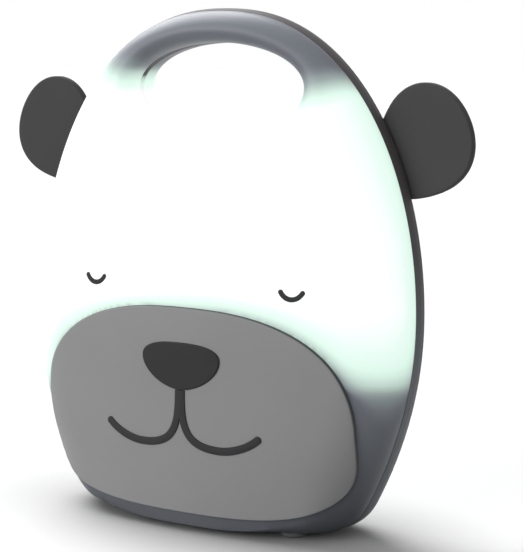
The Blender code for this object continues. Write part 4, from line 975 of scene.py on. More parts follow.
@dataclass(frozen=True)
class LitShell(Finish):
    """Milky plastic with light coming through it, bright where the lamps stand behind it.

    The light follows the height in the lamp, and is weaker near the band, the handle hole and the
    muzzle plate. How far a place is from these is stored on the piece in millimetres.
    """

    sheen_spread: float = 0.05
    emission: float = 1.0
    shelf_reach: float = 100.0
    shelf_fade: tuple[tuple[float, float], ...] = (
        (0.0, 0.27),
        (30.0, 0.33),
        (47.0, 0.38),
        (53.0, 0.44),
        (57.0, 0.505),
        (58.8, 0.575),
        (60.5, 0.68),
        (62.5, 0.77),
        (64.5, 0.82),
        (66.0, 0.86),
        (70.0, 0.92),
        (76.0, 0.96),
        (90.0, 1.0),
    )
    handle_dark: float = 0.33
    handle_fade: tuple[float, float] = (181.0, 159.5)
    handle_lean: float = 0.33
    handle_middle: float = 42.0
    handle_left: float = 6.0
    left_side: tuple[float, float] = (-30.0, -10.0)
    losses: tuple[tuple[str, float, float], ...] = (
        ("rim_depth", 3.5, 0.16),
        ("hole_gap", 2.5, 0.16),
        ("muzzle_gap", 1.0, 0.32),
    )
    light: tuple[tuple[float, str], ...] = (
        (0.33, "#000000"),
        (0.40, "#303434"),
        (0.50, "#5B6563"),
        (0.60, "#7C8983"),
        (0.70, "#9FB4A9"),
        (0.80, "#C0D7CC"),
        (0.88, "#D3EEDF"),
        (0.95, "#E0F2EA"),
        (1.00, "#FAFAFA"),
    )
    wall_cloud: float = 0.01
    # Painted shade: between these heights in mm the plastic goes from its darker lower tone to its
    # lighter upper tone.
    shade_heights: tuple[float, float] = (3.0, 62.0)
    lit_base: str = "#63696A"
    lit_shares: tuple[float, float] = (0.5, 0.8)
    # Painted shade under the handle: distances in mm from the hole where it starts and ends, and
    # the darkest share.
    painted_underside_shade: tuple[float, float, float] = (1.5, 7.5, 0.74)

    def handle_light(self, tree: bpy.types.NodeTree, axes: bpy.types.Node) -> bpy.types.Node:
        """Light on the handle: it fades upwards, and reaches higher on the outside.

        Args:
            tree: The node tree.
            axes: Node that gives x, y and z in metres.

        Returns:
            The share of full light.
        """
        x, z = axes.outputs["X"], axes.outputs["Z"]
        aside = add_node(tree, "Math", (x,), operation="ABSOLUTE")
        outside = add_node(tree, "Math", (aside, self.handle_middle * MM), operation="MAXIMUM")
        lean = (outside, -self.handle_lean, z)
        leaning = add_node(tree, "Math", lean, operation="MULTIPLY_ADD")
        start, end = (edge * MM for edge in self.left_side)
        left = add_node(tree, "MapRange", (x, start, end, -self.handle_left * MM, 0.0))
        height = add_node(tree, "Math", (leaning, left), operation="ADD")
        shift = self.handle_lean * self.handle_middle
        dark, lit = ((edge - shift) * MM for edge in self.handle_fade)
        fade = (height, dark, lit, self.handle_dark, 1.0)
        return add_node(tree, "MapRange", fade, interpolation_type="SMOOTHSTEP")

    def share(self, tree: bpy.types.NodeTree, axes: bpy.types.Node) -> bpy.types.Node:
        """Share of full light at a place.

        Args:
            tree: The node tree.
            axes: Node that gives x, y and z in metres.

        Returns:
            The share.
        """
        # Where the shelf stands further in, the light comes down past it.
        drop = add_node(tree, "Attribute", attribute_name="shelf_drop").outputs["Fac"]
        height = add_node(tree, "Math", (drop, MM, axes.outputs["Z"]), operation="MULTIPLY_ADD")
        reach = self.shelf_reach * MM
        height = add_node(tree, "Math", (height, reach), operation="DIVIDE")
        stops = [(z / self.shelf_reach, (s, s, s, 1.0)) for z, s in self.shelf_fade]
        low = add_node(tree, "ValToRGB", (height,), stops)
        share = add_node(tree, "Math", (low, self.handle_light(tree, axes)), operation="MINIMUM")
        for name, reach, loss in self.losses:
            gap = add_node(tree, "Attribute", attribute_name=name).outputs["Fac"]
            fall = add_node(tree, "Math", (gap, -1 / reach), operation="MULTIPLY")
            near = add_node(tree, "Math", (fall,), operation="EXPONENT")
            share = add_node(tree, "Math", (near, -loss, share), operation="MULTIPLY_ADD")
        return share

    def looks(self, tree: bpy.types.NodeTree, place: bpy.types.NodeSocket) -> dict[str, Any]:
        """Plastic with painted shade, darker towards the base and under the handle, and the light's
        own tones, white where it is brightest.

        Args:
            tree: The node tree.
            place: Object coordinates.

        Returns:
            Nodes or sockets by the shader's input.
        """
        axes = add_node(tree, "SeparateXYZ", (place,))
        cloud = self.cloud(tree, place)
        # The wall's thickness wanders by a hundredth, which clouds the edge of the glow.
        clouded = add_node(
            tree, "MapRange", (cloud, 0.0, 1.0, -self.wall_cloud, self.wall_cloud)
        )
        share = self.share(tree, axes)
        glow = add_node(tree, "Math", (share, clouded), operation="ADD", use_clamp=True)
        # Painted shade: the plastic is darker towards the base.
        low, high = (height * MM for height in self.shade_heights)
        shade_by_height = add_node(tree, "MapRange", (axes.outputs["Z"], low, high))
        # Painted shade: near the hole's edge the base colour is darkened, where the handle's
        # underside turns away from the light.
        near, far, darkest = self.painted_underside_shade
        gap = add_node(tree, "Attribute", attribute_name="hole_gap").outputs["Fac"]
        fade = (gap, near, far, darkest, 1.0)
        under = add_node(tree, "MapRange", fade, interpolation_type="SMOOTHSTEP")
        tone = {0: self.tones(tree, shade_by_height), "Scale": under}
        base = {
            "Factor": add_node(tree, "MapRange", (glow, *self.lit_shares)),
            COLOUR_A: add_node(tree, "VectorMath", tone, operation="SCALE"),
            COLOUR_B: linear(self.lit_base),
        }
        stops = [(share, linear(code)) for share, code in self.light]
        return {
            "Base Color": add_node(tree, "Mix", base, data_type="RGBA").outputs[COLOUR_OUT],
            "Emission Color": add_node(tree, "ValToRGB", (glow,), stops),
            **self.surface(tree, place, cloud),
        }


@dataclass(frozen=True)
class BandPlastic(Finish):
    """Dark plastic of the band, with the shells' light on its edge in the hole painted on as a
    glow.
    """

    sheen_spread: float = 0.05
    emission: float = 1.0
    # Painted light: glow tones of the shells' light on the band's edge in the hole.
    spill: tuple[tuple[float, str], ...] = (
        (0.0, "#000000"),
        (0.2, "#AEC4B9"),
        (0.5, "#D2EADF"),
        (1.0, "#F4F4F4"),
    )
    spill_heights: tuple[float, float] = (174.0, 167.0)
    spill_gaps: tuple[float, float] = (0.8, 0.4)
    # Painted light and shade: between these heights in mm the band goes from its lighter lower tone
    # to its darker upper tone.
    shade_heights: tuple[float, float] = (60.0, 110.0)

    def looks(self, tree: bpy.types.NodeTree, place: bpy.types.NodeSocket) -> dict[str, Any]:
        """Painted light and shade, lighter towards the base and darker up high, and the shells'
        light painted on its edge.

        Args:
            tree: The node tree.
            place: Object coordinates.

        Returns:
            Nodes or sockets by the shader's input.
        """
        height = add_node(tree, "SeparateXYZ", (place,)).outputs["Z"]
        shade_by_height, fade = (
            add_node(tree, "MapRange", (height, low * MM, high * MM))
            for low, high in (self.shade_heights, self.spill_heights)
        )
        gap = add_node(tree, "Attribute", attribute_name="hole_gap").outputs["Fac"]
        edge = add_node(tree, "MapRange", (gap, *self.spill_gaps))
        painted_spill_share = add_node(tree, "Math", (fade, edge), operation="MULTIPLY")
        stops = [(share, linear(code)) for share, code in self.spill]
        return {
            "Base Color": self.tones(tree, shade_by_height),
            "Emission Color": add_node(tree, "ValToRGB", (painted_spill_share,), stops),
            **self.surface(tree, place, self.cloud(tree, place)),
        }


@dataclass(frozen=True)
class EdgeShadedPlate(Finish):
    """Textured plate whose side wall is painted much darker, as the shade and shadow gap along its
    edge.
    """

    # Painted shade: colour of the plate's side wall.
    wall: str = "#45484A"

    def looks(self, tree: bpy.types.NodeTree, place: bpy.types.NodeSocket) -> dict[str, Any]:
        """Two close tones on the front and the painted shade on the wall round it.

        Args:
            tree: The node tree.
            place: Object coordinates.

        Returns:
            Nodes or sockets by the shader's input.
        """
        cloud = self.cloud(tree, place)
        base = {
            "Factor": add_node(tree, "Attribute", attribute_name="wall_shade_share").outputs["Fac"],
            COLOUR_A: self.tones(tree, cloud),
            COLOUR_B: linear(self.wall),
        }
        return {
            "Base Color": add_node(tree, "Mix", base, data_type="RGBA").outputs[COLOUR_OUT],
            **self.surface(tree, place, cloud),
        }


@dataclass(frozen=True)
class TurnedSteel(Finish):
    """Plated steel, turned or drawn: fine rings and a dull glint."""

    wave_share: float = 1 / 20

    def looks(self, tree: bpy.types.NodeTree, place: bpy.types.NodeSocket) -> dict[str, Any]:
        """Metal whose roughness follows fine turning marks.

        Args:
            tree: The node tree.
            place: Object coordinates.

        Returns:
            Nodes or sockets by the shader's input.
        """
        # The wave texture draws about 20 rings where the noise has one grain.
        scale = self.wave_share / (self.grain_mm * MM)
        sizes = {"Vector": place, "Scale": scale, "Distortion": 3.0, "Detail": 2.0}
        marks = add_node(
            tree, "TexWave", sizes, wave_type="RINGS", rings_direction="SPHERICAL"
        )
        return {
            "Base Color": self.tones(tree, self.cloud(tree, place)),
            **self.surface(tree, place, marks.outputs["Fac"]),
        }


@dataclass(frozen=True)
class CircuitBoard(Finish):
    """Glass-fibre board under green lacquer, with copper tracks that show through it."""

    grain_depth_mm: float = 0.03
    grain_strength: float = 0.7
    track_mm: float = 2.4
    track_share: float = 0.16
    track_run: float = 4.0

    def looks(self, tree: bpy.types.NodeTree, place: bpy.types.NodeSocket) -> dict[str, Any]:
        """Lacquer with tracks as straight runs, a shade lighter than the board.

        Args:
            tree: The node tree.
            place: Object coordinates.

        Returns:
            Nodes by the shader's input.
        """
        pitch = self.track_mm * MM
        sizes = {
            "Vector": place,
            "Scale": 1.0,
            "Mortar Size": pitch * self.track_share,
            "Brick Width": pitch * self.track_run,
            "Row Height": pitch,
            "Color1": linear(self.colour),
            "Color2": linear(self.colour),
            "Mortar": linear(self.shade),
        }
        tracks = add_node(tree, "TexBrick", sizes)
        return {"Base Color": tracks, "Normal": self.bump(tree, tracks.outputs["Fac"])}


@dataclass(frozen=True)
class CellSleeve(Finish):
    """Shrunk PVC sleeve of a battery cell: a dark body and a lighter band at one end."""

    band_edge: tuple[float, float] = (11.8, 12.2)

    def looks(self, tree: bpy.types.NodeTree, place: bpy.types.NodeSocket) -> dict[str, Any]:
        """Two printed tones along the cell, with the small waves of a shrunk film.

        Args:
            tree: The node tree.
            place: Object coordinates.

        Returns:
            Nodes or sockets by the shader's input.
        """
        x = add_node(tree, "SeparateXYZ", (place,)).outputs["X"]
        band = add_node(tree, "MapRange", (x, *(edge * MM for edge in self.band_edge)))
        return {
            "Base Color": self.tones(tree, band),
            **self.surface(tree, place, self.cloud(tree, place)),
        }


@dataclass(frozen=True)
class OpenFoam(Finish):
    """Open-cell polyurethane foam: dark pores between pale struts."""

    grain_strength: float = 1.0

    def looks(self, tree: bpy.types.NodeTree, place: bpy.types.NodeSocket) -> dict[str, Any]:
        """Foam with pores a grain wide, in its colour and its bump.

        Args:
            tree: The node tree.
            place: Object coordinates.

        Returns:
            Nodes or sockets by the shader's input.
        """
        scale = 1 / (self.grain_mm * MM)
        pores = add_node(tree, "TexVoronoi", {"Vector": place, "Scale": scale})
        return {"Base Color": self.tones(tree, pores), "Normal": self.bump(tree, pores)}


@dataclass(frozen=True)
class LampResin(Finish):
    """Clear silicone over yellow phosphor: the lights that shine inside the case."""

    emission: float = 2.0

    def looks(self, tree: bpy.types.NodeTree, place: bpy.types.NodeSocket) -> dict[str, Any]:
        """Resin that glows warm white, in two close tones.

        Args:
            tree: The node tree.
            place: Object coordinates.

        Returns:
            Sockets by the shader's input.
        """
        tone = self.tones(tree, self.cloud(tree, place))
        return {"Base Color": tone, "Emission Color": tone}


class Finishes:
    """Materials of the lamp, one for each slot of the record."""

    def __init__(self) -> None:
        """Makes every material once."""
        finishes = {
            # Milky polypropylene, satin from the mould; grey-blue where no light comes through,
            # with painted shade that darkens it towards the base and under the handle.
            "diffuser": LitShell(
                "milky_polypropylene_diffuser", "#585B62", "#7E838B", 0.42, specular=0.35
            ),
            # ABS in charcoal, satin, with painted light and shade: lighter towards the base, and
            # the shells' light painted onto its edge in the handle hole as a glow.
            "frame_grey": BandPlastic(
                "satin_charcoal_abs", "#797C81", "#524E50", 0.5, specular=0.25
            ),
            # Silicone-coated ABS: dark, dull and even, with hardly any glint.
            "ear_grey": Finish(
                "matte_graphite_soft_touch_abs",
                "#4E4E4E",
                "#4A4A4B",
                0.75,
                specular=0.15,
                grain_mm=0.4,
            ),
            # ABS in mid grey with a fine spark-eroded texture, so it shines very little; its side
            # wall is painted dark as shade.
            "muzzle_grey": EdgeShadedPlate(
                "fine_textured_mid_grey_abs",
                "#9A9A9A",
                "#959596",
                0.62,
                specular=0.25,
                grain_mm=0.5,
            ),
            # Moulded black ABS inlays, matt: the nose is a trace darker than the lines.
            "nose_black": Finish(
                "matte_black_abs_inlay", "#373737", "#333334", 0.65, specular=0.15
            ),
            "line_black": Finish(
                "matte_black_abs_line", "#3A3A3B", "#363638", 0.65, specular=0.15
            ),
            # Moulded recycled ABS for what is hidden: black with flow marks.
            "chassis_black": Finish("black_chassis_abs", "#2B2B2D", "#232325", 0.6, cloud_mm=12),
            # White high-gloss polystyrene that throws the light upwards.
            "reflector_white": Finish(
                "gloss_white_polystyrene", "#F2F2EE", "#E9EAE6", 0.22, grain_mm=1.5
            ),
            # Lacquered glass fibre: glossy green with lighter tracks.
            "board_green": CircuitBoard(
                "green_lacquered_circuit_board", "#0F5A30", "#2C8A4C", 0.3
            ),
            # Cast silicone over phosphor: pale yellow, glossy and lit.
            "light_white": LampResin("phosphor_lamp_resin", "#FFF4C8", "#FFE9A0", 0.25),
            # Moulded epoxy of the chip: black and slightly grainy.
            "chip_black": Finish(
                "black_epoxy_package", "#252527", "#2E2E30", 0.5, grain_mm=0.3
            ),
            # Moulded nylon of the switches: black with a soft sheen.
            "switch_black": Finish("black_switch_nylon", "#2A2A2C", "#242426", 0.45),
            # Moulded ABS of the buttons: satin grey, a little polished by fingers.
            "button_grey": Finish("satin_grey_button_abs", "#7E8083", "#76787C", 0.4),
            # Printed PVC film, shrunk on: glossy, with small waves.
            "cell_sleeve": CellSleeve(
                "shrunk_pvc_cell_sleeve", "#2E4F86", "#C9CED6", 0.3, cloud_mm=4
            ),
            # Bright nickel over stamped and drawn steel: a warm, clear glint.
            "contact_nickel": TurnedSteel(
                "nickel_plated_contact", "#C9C6BD", "#BDBAB2", 0.25, 1.0
            ),
            "spring_nickel": TurnedSteel(
                "nickel_plated_spring_wire", "#C4C2BA", "#B5B3AB", 0.22, 1.0
            ),
            # Zinc-plated turned steel: cooler and duller than the nickel.
            "screw_steel": TurnedSteel(
                "zinc_plated_screw_steel", "#B7B9BC", "#A5A7AA", 0.32, 1.0
            ),
            # Moulded ABS of the door: satin mid grey.
            "door_grey": Finish("satin_grey_door_abs", "#8B8F92", "#84888B", 0.45),
            # Cut open-cell foam: dull, dark and full of pores.
            "foam_grey": OpenFoam(
                "open_cell_foam", "#3A3A3C", "#5A5A5C", 0.95, grain_mm=0.8, grain_depth_mm=0.3
            ),
            # Moulded rubber: dull grey that hardly shines.
            "foot_rubber": Finish(
                "translucent_foot_rubber", "#747776", "#6B6E6D", 0.75, specular=0.2
            ),
            # Extruded PVC round the leads: even and slightly glossy.
            "red_insulation": Finish(
                "red_pvc_insulation", "#B32222", "#A01C1C", 0.4, cloud_mm=6
            ),
            "black_insulation": Finish(
                "black_pvc_insulation", "#202022", "#28282A", 0.4, cloud_mm=6
            ),
        }
        self.by_slot = {slot: finish.make() for slot, finish in finishes.items()}

    def dress_nodes(self, nodes: dict[str, bpy.types.Object], record: dict[str, Any]) -> None:
        """Gives every CAD node the material of its slot.

        Args:
            nodes: CAD nodes by name.
            record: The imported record.
        """
        for part in record["subparts"]:
            mesh = nodes[part["node"]].data
            mesh.materials.clear()
            mesh.materials.append(self.by_slot[part["material_slot"]])
        LOG.info("%d CAD nodes dressed", len(nodes))

    def dress(
        self,
        obj: bpy.types.Object,
        slot: str,
        nodes: Sequence[str],
        body: str = "lamp",
        degrees: float = 35.0,
    ) -> None:
        """Smooths and dresses a piece and lets it ride in place of its CAD nodes.

        Args:
            obj: The piece.
            slot: The record's slot of its finish.
            nodes: CAD nodes that it stands for.
            body: Body that it rides on.
            degrees: Angle over which an edge stays sharp.
        """
        Bench.pick(obj)
        bpy.ops.object.shade_smooth_by_angle(angle=math.radians(degrees))
        obj.data.materials.clear()
        obj.data.materials.append(self.by_slot[slot])
        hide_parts(*nodes)
        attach(obj, body)
        LOG.info("%s: %d faces, rides on %s", obj.name, len(obj.data.polygons), body)


@dataclass(frozen=True)
class Muzzle:
    """Sizes of the raised plate on the lower face."""

    half: float = 69.4 * MM
    middle: float = 42 * MM
    top: float = 86.8 * MM
    bottom: float = 7.3 * MM
    upper_power: float = 2.45
    lower_power: float = 3.4
    thickness: float = 1.8 * MM
    edge_round: float = 0.6 * MM
    sides: int = 160

    def outline(self) -> np.ndarray:
        """Plate's outline.

        Returns:
            Points as x and z.
        """
        sizes = (self.half, self.top - self.middle, self.middle - self.bottom)
        powers = (self.upper_power, self.lower_power)
        return rounded_outline(sizes, self.middle, powers, self.sides)

    def reach(self, flat: np.ndarray) -> np.ndarray:
        """Rough distance from the plate's edge, above 0 outside it.

        Args:
            flat: Points as x and z.

        Returns:
            One distance for each point.
        """
        x, z = np.abs(flat[:, 0]), flat[:, 1] - self.middle
        power = np.where(z > 0, self.upper_power, self.lower_power)
        tall = np.where(z > 0, self.top - self.middle, self.middle - self.bottom)
        ring = ((x / self.half) ** power + (np.abs(z) / tall) ** power) ** (1 / power)
        return (ring - 1) * np.hypot(x, z) / np.maximum(ring, TINY)


@dataclass
class Gaps:
    """Distances that the finishes need, stored on the pieces in millimetres."""

    shape: CaseShape
    muzzle: Muzzle
    far: float = 60.0
    hole_rim: float = 8.0
    lamp_side: float = 30 * MM
    rim_away: float = 15.0
    no_edge_below: tuple[float, float] = (154 * MM, 165 * MM)
    no_edge_left: float = 13 * MM
    left_side: float = 20 * MM
    hole_away: float = 30.0
    left_flank: tuple[float, float] = (-60 * MM, -72 * MM)
    flank_drop: float = 14.0
    muzzle_reach: tuple[float, float] = (1.7, 3.0)
    muzzle_sides: tuple[float, float] = (-20 * MM, 45 * MM)
    muzzle_far: float = 40.0
    wall_shade_width: float = 0.4

    def mark_shell(self, shell: bpy.types.Object, sizes: ShellSizes) -> None:
        """Stores how far each place is from the band, the hole, the shelf and the muzzle plate.

        Args:
            shell: The piece.
            sizes: Sizes of that shell.
        """
        points = self.points(shell)
        flat = points[:, [0, 2]]
        x, z = flat[:, 0], flat[:, 1]
        front = sizes.side is Side.FRONT
        base = self.shape.front_base if front else self.shape.rear_base
        hole = self.shape.hole_distance(flat) / MM
        depth = np.clip((points[:, 1] - base) * sizes.side.value / MM, 0.0, self.far)
        # The band's inner edge takes no light away, nor does the side that the lamps lean to.
        aside = smooth_step(1 - hole / self.hole_rim) + smooth_step(-x / self.lamp_side)
        self.store(shell, "rim_depth", depth + self.rim_away * np.clip(aside, 0.0, 1.0))
        # Under the hole the shells stand close behind each other, and no edge shows there.
        low, high = self.no_edge_below
        height = z - self.no_edge_left * smooth_step(-x / self.left_side)
        under = self.hole_away * (1 - smooth_step((height - low) / (high - low)))
        self.store(shell, "hole_gap", np.clip(hole, 0.0, self.far) + under)
        start, end = self.left_flank
        drop = self.flank_drop * smooth_step((x - start) / (end - start))
        self.store(shell, "shelf_drop", drop * front)
        start, end = self.muzzle_sides
        near, wide = self.muzzle_reach
        reach = near + (wide - near) * smooth_step((x - start) / (end - start))
        gap = np.clip(self.muzzle.reach(flat) / MM / reach, 0.0, self.muzzle_far)
        self.store(shell, "muzzle_gap", gap if front else np.full(len(flat), self.muzzle_far))

    def mark_band(self, band: bpy.types.Object) -> None:
        """Stores how far each place of the band is from the handle hole."""
        hole = self.shape.hole_distance(self.points(band)[:, [0, 2]]) / MM
        self.store(band, "hole_gap", np.clip(hole, 0.0, self.far))

    def mark_wall_shade(self, plate: bpy.types.Object) -> None:
        """Stores where the painted shade on the muzzle plate's side wall goes."""
        reach = self.muzzle.reach(self.points(plate)[:, [0, 2]]) / MM
        self.store(plate, "wall_shade_share", np.clip(1 + reach / self.wall_shade_width, 0.0, 1.0))

    @staticmethod
    def points(obj: bpy.types.Object) -> np.ndarray:
        """Vertices of a piece.

        Args:
            obj: The piece.

        Returns:
            The vertices as x, y and z.
        """
        points = np.empty(len(obj.data.vertices) * 3)
        obj.data.vertices.foreach_get("co", points)
        return points.reshape(-1, 3)

    @staticmethod
    def store(obj: bpy.types.Object, name: str, values: np.ndarray) -> None:
        """Stores a value at each vertex of a piece.

        Args:
            obj: The piece.
            name: Name of the attribute.
            values: One value for each vertex.
        """
        layer = obj.data.attributes.new(name, "FLOAT", "POINT")
        layer.data.foreach_set("value", values.astype(np.float32))


@dataclass
class Case:
    """Front shell, rear shell and the dark band between them."""

    shape: CaseShape
    gaps: Gaps
    finishes: Finishes
    outer_steps: tuple[int, int, int] = (9, 42, 7)
    inner_steps: tuple[int, int, int] = (4, 8, 3)
    screw_rows: tuple[tuple[str, float, float], ...] = (
        ("top", 166 * MM, 11.0 * MM),
        ("middle", 100 * MM, 8.3 * MM),
        ("low", 24 * MM, 12.5 * MM),
    )
    post: float = 4.6 * MM
    well: tuple[tuple[float, float], ...] = (
        (-1 * MM, 1.8 * MM),
        (3.2 * MM, 1.8 * MM),
        (3.2 * MM, 3.1 * MM),
        (30 * MM, 3.1 * MM),
    )
    edge: float = 0.35 * MM
    thin: float = 0.15 * MM
    lip: float = 0.03 * MM
    slope_width: float = 0.8 * MM
    slope_depth: float = 2.8 * MM
    fit: float = 0.02 * MM
    window: tuple[float, float, float] = (72 * MM, 62 * MM, 62 * MM)
    window_middle: float = 80 * MM
    window_power: float = 3.0
    window_sides: int = 96
    notch: float = 31 * MM
    overrun: float = 3 * MM

    def shell_table(self, shell: ShellSizes) -> np.ndarray:
        """Places of a hollow shell: over the outside, through the hole and back inside.

        Args:
            shell: The shell.

        Returns:
            Rows of points, with the first row and column repeated at the end.
        """
        shape = self.shape
        depth = shape.seam + (GAP if shell.side is Side.REAR else -shape.plate - GAP)
        outer = shape.rings(shell, 0.0, *self.outer_steps)
        inner = shape.rings(shell, shape.wall, *self.inner_steps)
        ends = (outer[0], outer[-1], inner[-1], inner[0])
        rim, hole, hole_inside, rim_inside = (at_depth(end[:, [0, 2]], depth) for end in ends)
        rows = [rim, *outer, hole, hole_inside, *reversed(inner), rim_inside]
        return self.wrapped(rows)

    @staticmethod
    def wrapped(rows: list[np.ndarray]) -> np.ndarray:
        """Table of rows that closes on itself both ways.

        Args:
            rows: Loops of points.

        Returns:
            The table with its first row and column repeated.
        """
        return looped(rows + [rows[0]])

    def screw_places(self) -> list[tuple[str, float, float]]:
        """Places of the case screws.

        Returns:
            Name, x and z of each.
        """
        return [
            (f"{name}_{word}", side * (self.shape.half_width(height) - inset), height)
            for name, height, inset in self.screw_rows
            for word, side in SIDES.items()
        ]

    def build_front(self, eyes: list[bpy.types.Object], feet: list[bpy.types.Object]) -> None:
        """Front shell with the grooves of its eyes.

        Args:
            eyes: Cutters of the eye grooves.
            feet: Cutters of the foot recesses.
        """
        shell = Bench.net("front_shell_moulding", self.shell_table(FRONT))
        Bench.combine(shell, eyes + feet)
        self.gaps.mark_shell(shell, FRONT)
        self.finishes.dress(shell, "diffuser", ["front_shell"])

    def build_rear(self, cutters: list[bpy.types.Object]) -> None:
        """Rear shell with its screw wells and the cuts for ears, buttons, door and feet.

        Args:
            cutters: Cutters of everything that the rear shell makes room for.
        """
        shape = self.shape
        shell = Bench.net("rear_shell_moulding", self.shell_table(REAR))
        posts, wells = [], []
        for _, x, z in self.screw_places():
            at = (x, shape.seam, z)
            top = shape.back_at(x, z) - shape.wall / 2 - shape.seam
            posts.append(Bench.turned("post", [(GAP * 2, self.post), (top, self.post)], at))
            wells.append(Bench.turned("well", self.well, at))
        Bench.combine(shell, posts, "UNION")
        Bench.combine(shell, wells + cutters)
        self.gaps.mark_shell(shell, REAR)
        self.finishes.dress(shell, "diffuser", ["rear_shell"])

    def build_band(self) -> None:
        """Middle band: a plate between the shells with a flange that hides the front rim."""
        shape, edge = self.shape, self.edge
        insets = shape.rim_insets(FRONT.inset) - self.fit
        wall = np.maximum(insets, self.thin)
        share = np.clip(insets / (FRONT.inset - self.fit), 0.0, 1.0)
        plate_front = shape.seam - shape.plate
        flange = plate_front - (shape.band - shape.plate) * smooth_step(share)
        cut = np.minimum(edge, wall / 3)
        slope, drop = self.slope_width * share, self.slope_depth * share
        # Inset from the outline, and depth: inside the flange, over its slope and to the seam.
        outside = (
            (wall, plate_front),
            (wall, flange + self.lip),
            (wall - self.lip, flange),
            (slope + cut / 4, flange),
            (slope * 0.9, flange + drop * 0.1 + cut / 4),
            (slope * 0.12, flange + drop * 0.88 + cut / 4),
            (0.0, flange + drop + cut),
            (0.0, shape.seam - edge),
            (edge, shape.seam),
        )
        rows = [at_depth(shape.inset(shape.loop, inset), depth) for inset, depth in outside]
        eased = shape.hole - shape.inward(shape.hole) * edge
        rows += [
            at_depth(eased, shape.seam),
            at_depth(shape.hole, shape.seam - edge),
            at_depth(shape.hole, plate_front + edge),
            at_depth(eased, plate_front),
        ]
        band = Bench.net("middle_band", self.wrapped(rows))
        powers = (self.window_power, self.window_power)
        window = rounded_outline(self.window, self.window_middle, powers, self.window_sides)
        near, far = shape.front_base - self.overrun, shape.seam + self.overrun
        cutter = Bench.net("window", Prism.table(window, near, far), cap=True)
        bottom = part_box("chassis")[0].z - GAP
        low, high = (-self.notch, near, bottom), (self.notch, far, self.window_middle)
        Bench.combine(band, [cutter, Bench.block("notch", low, high)])
        self.gaps.mark_band(band)
        self.finishes.dress(band, "frame_grey", ["frame"])


class Prism:
    """Flat outlines drawn out along the lamp's depth."""

    @staticmethod
    def table(flat: np.ndarray, low: float, high: float) -> np.ndarray:
        """Wall of a prism.

        Args:
            flat: Outline as x and z.
            low: Depth of one end.
            high: Depth of the other end.

        Returns:
            Two rows of points that close on themselves.
        """
        return looped([at_depth(flat, low), at_depth(flat, high)])

    @staticmethod
    def plate(
        flat: np.ndarray,
        middle: tuple[float, float],
        edge: float,
        scales: Sequence[float],
        place: Callable[[np.ndarray, float], np.ndarray],
        thickness: float,
    ) -> np.ndarray:
        """Places of a plate with a rounded front edge: front, edge, back.

        Args:
            flat: Outline as x and z.
            middle: Point that the rings close on.
            edge: Radius of the rounded edge.
            scales: Ring sizes from the edge's rounding inwards, as shares.
            place: Puts flat points at a height over the surface.
            thickness: Height of the plate's top over its back.

        Returns:
            Rows of points that close on themselves.
        """
        centre = np.array(middle)
        arms = flat - centre
        reach = np.linalg.norm(arms, axis=1)[:, None]
        pole, steps = 1e-4, 4
        rows = [place(centre + arms * scale, thickness) for scale in (pole, *reversed(scales))]
        for i in range(steps + 1):
            turn = math.pi / 2 * i / steps
            ring = centre + arms * (1 - edge * (1 - math.sin(turn)) / reach)
            rows.append(place(ring, thickness - edge * (1 - math.cos(turn))))
        rows += [place(centre + arms * scale, 0.0) for scale in (1.0, *scales, pole)]
        for end in (0, -1):
            rows[end] = np.broadcast_to(rows[end].mean(axis=0), rows[end].shape)
        return looped(rows)


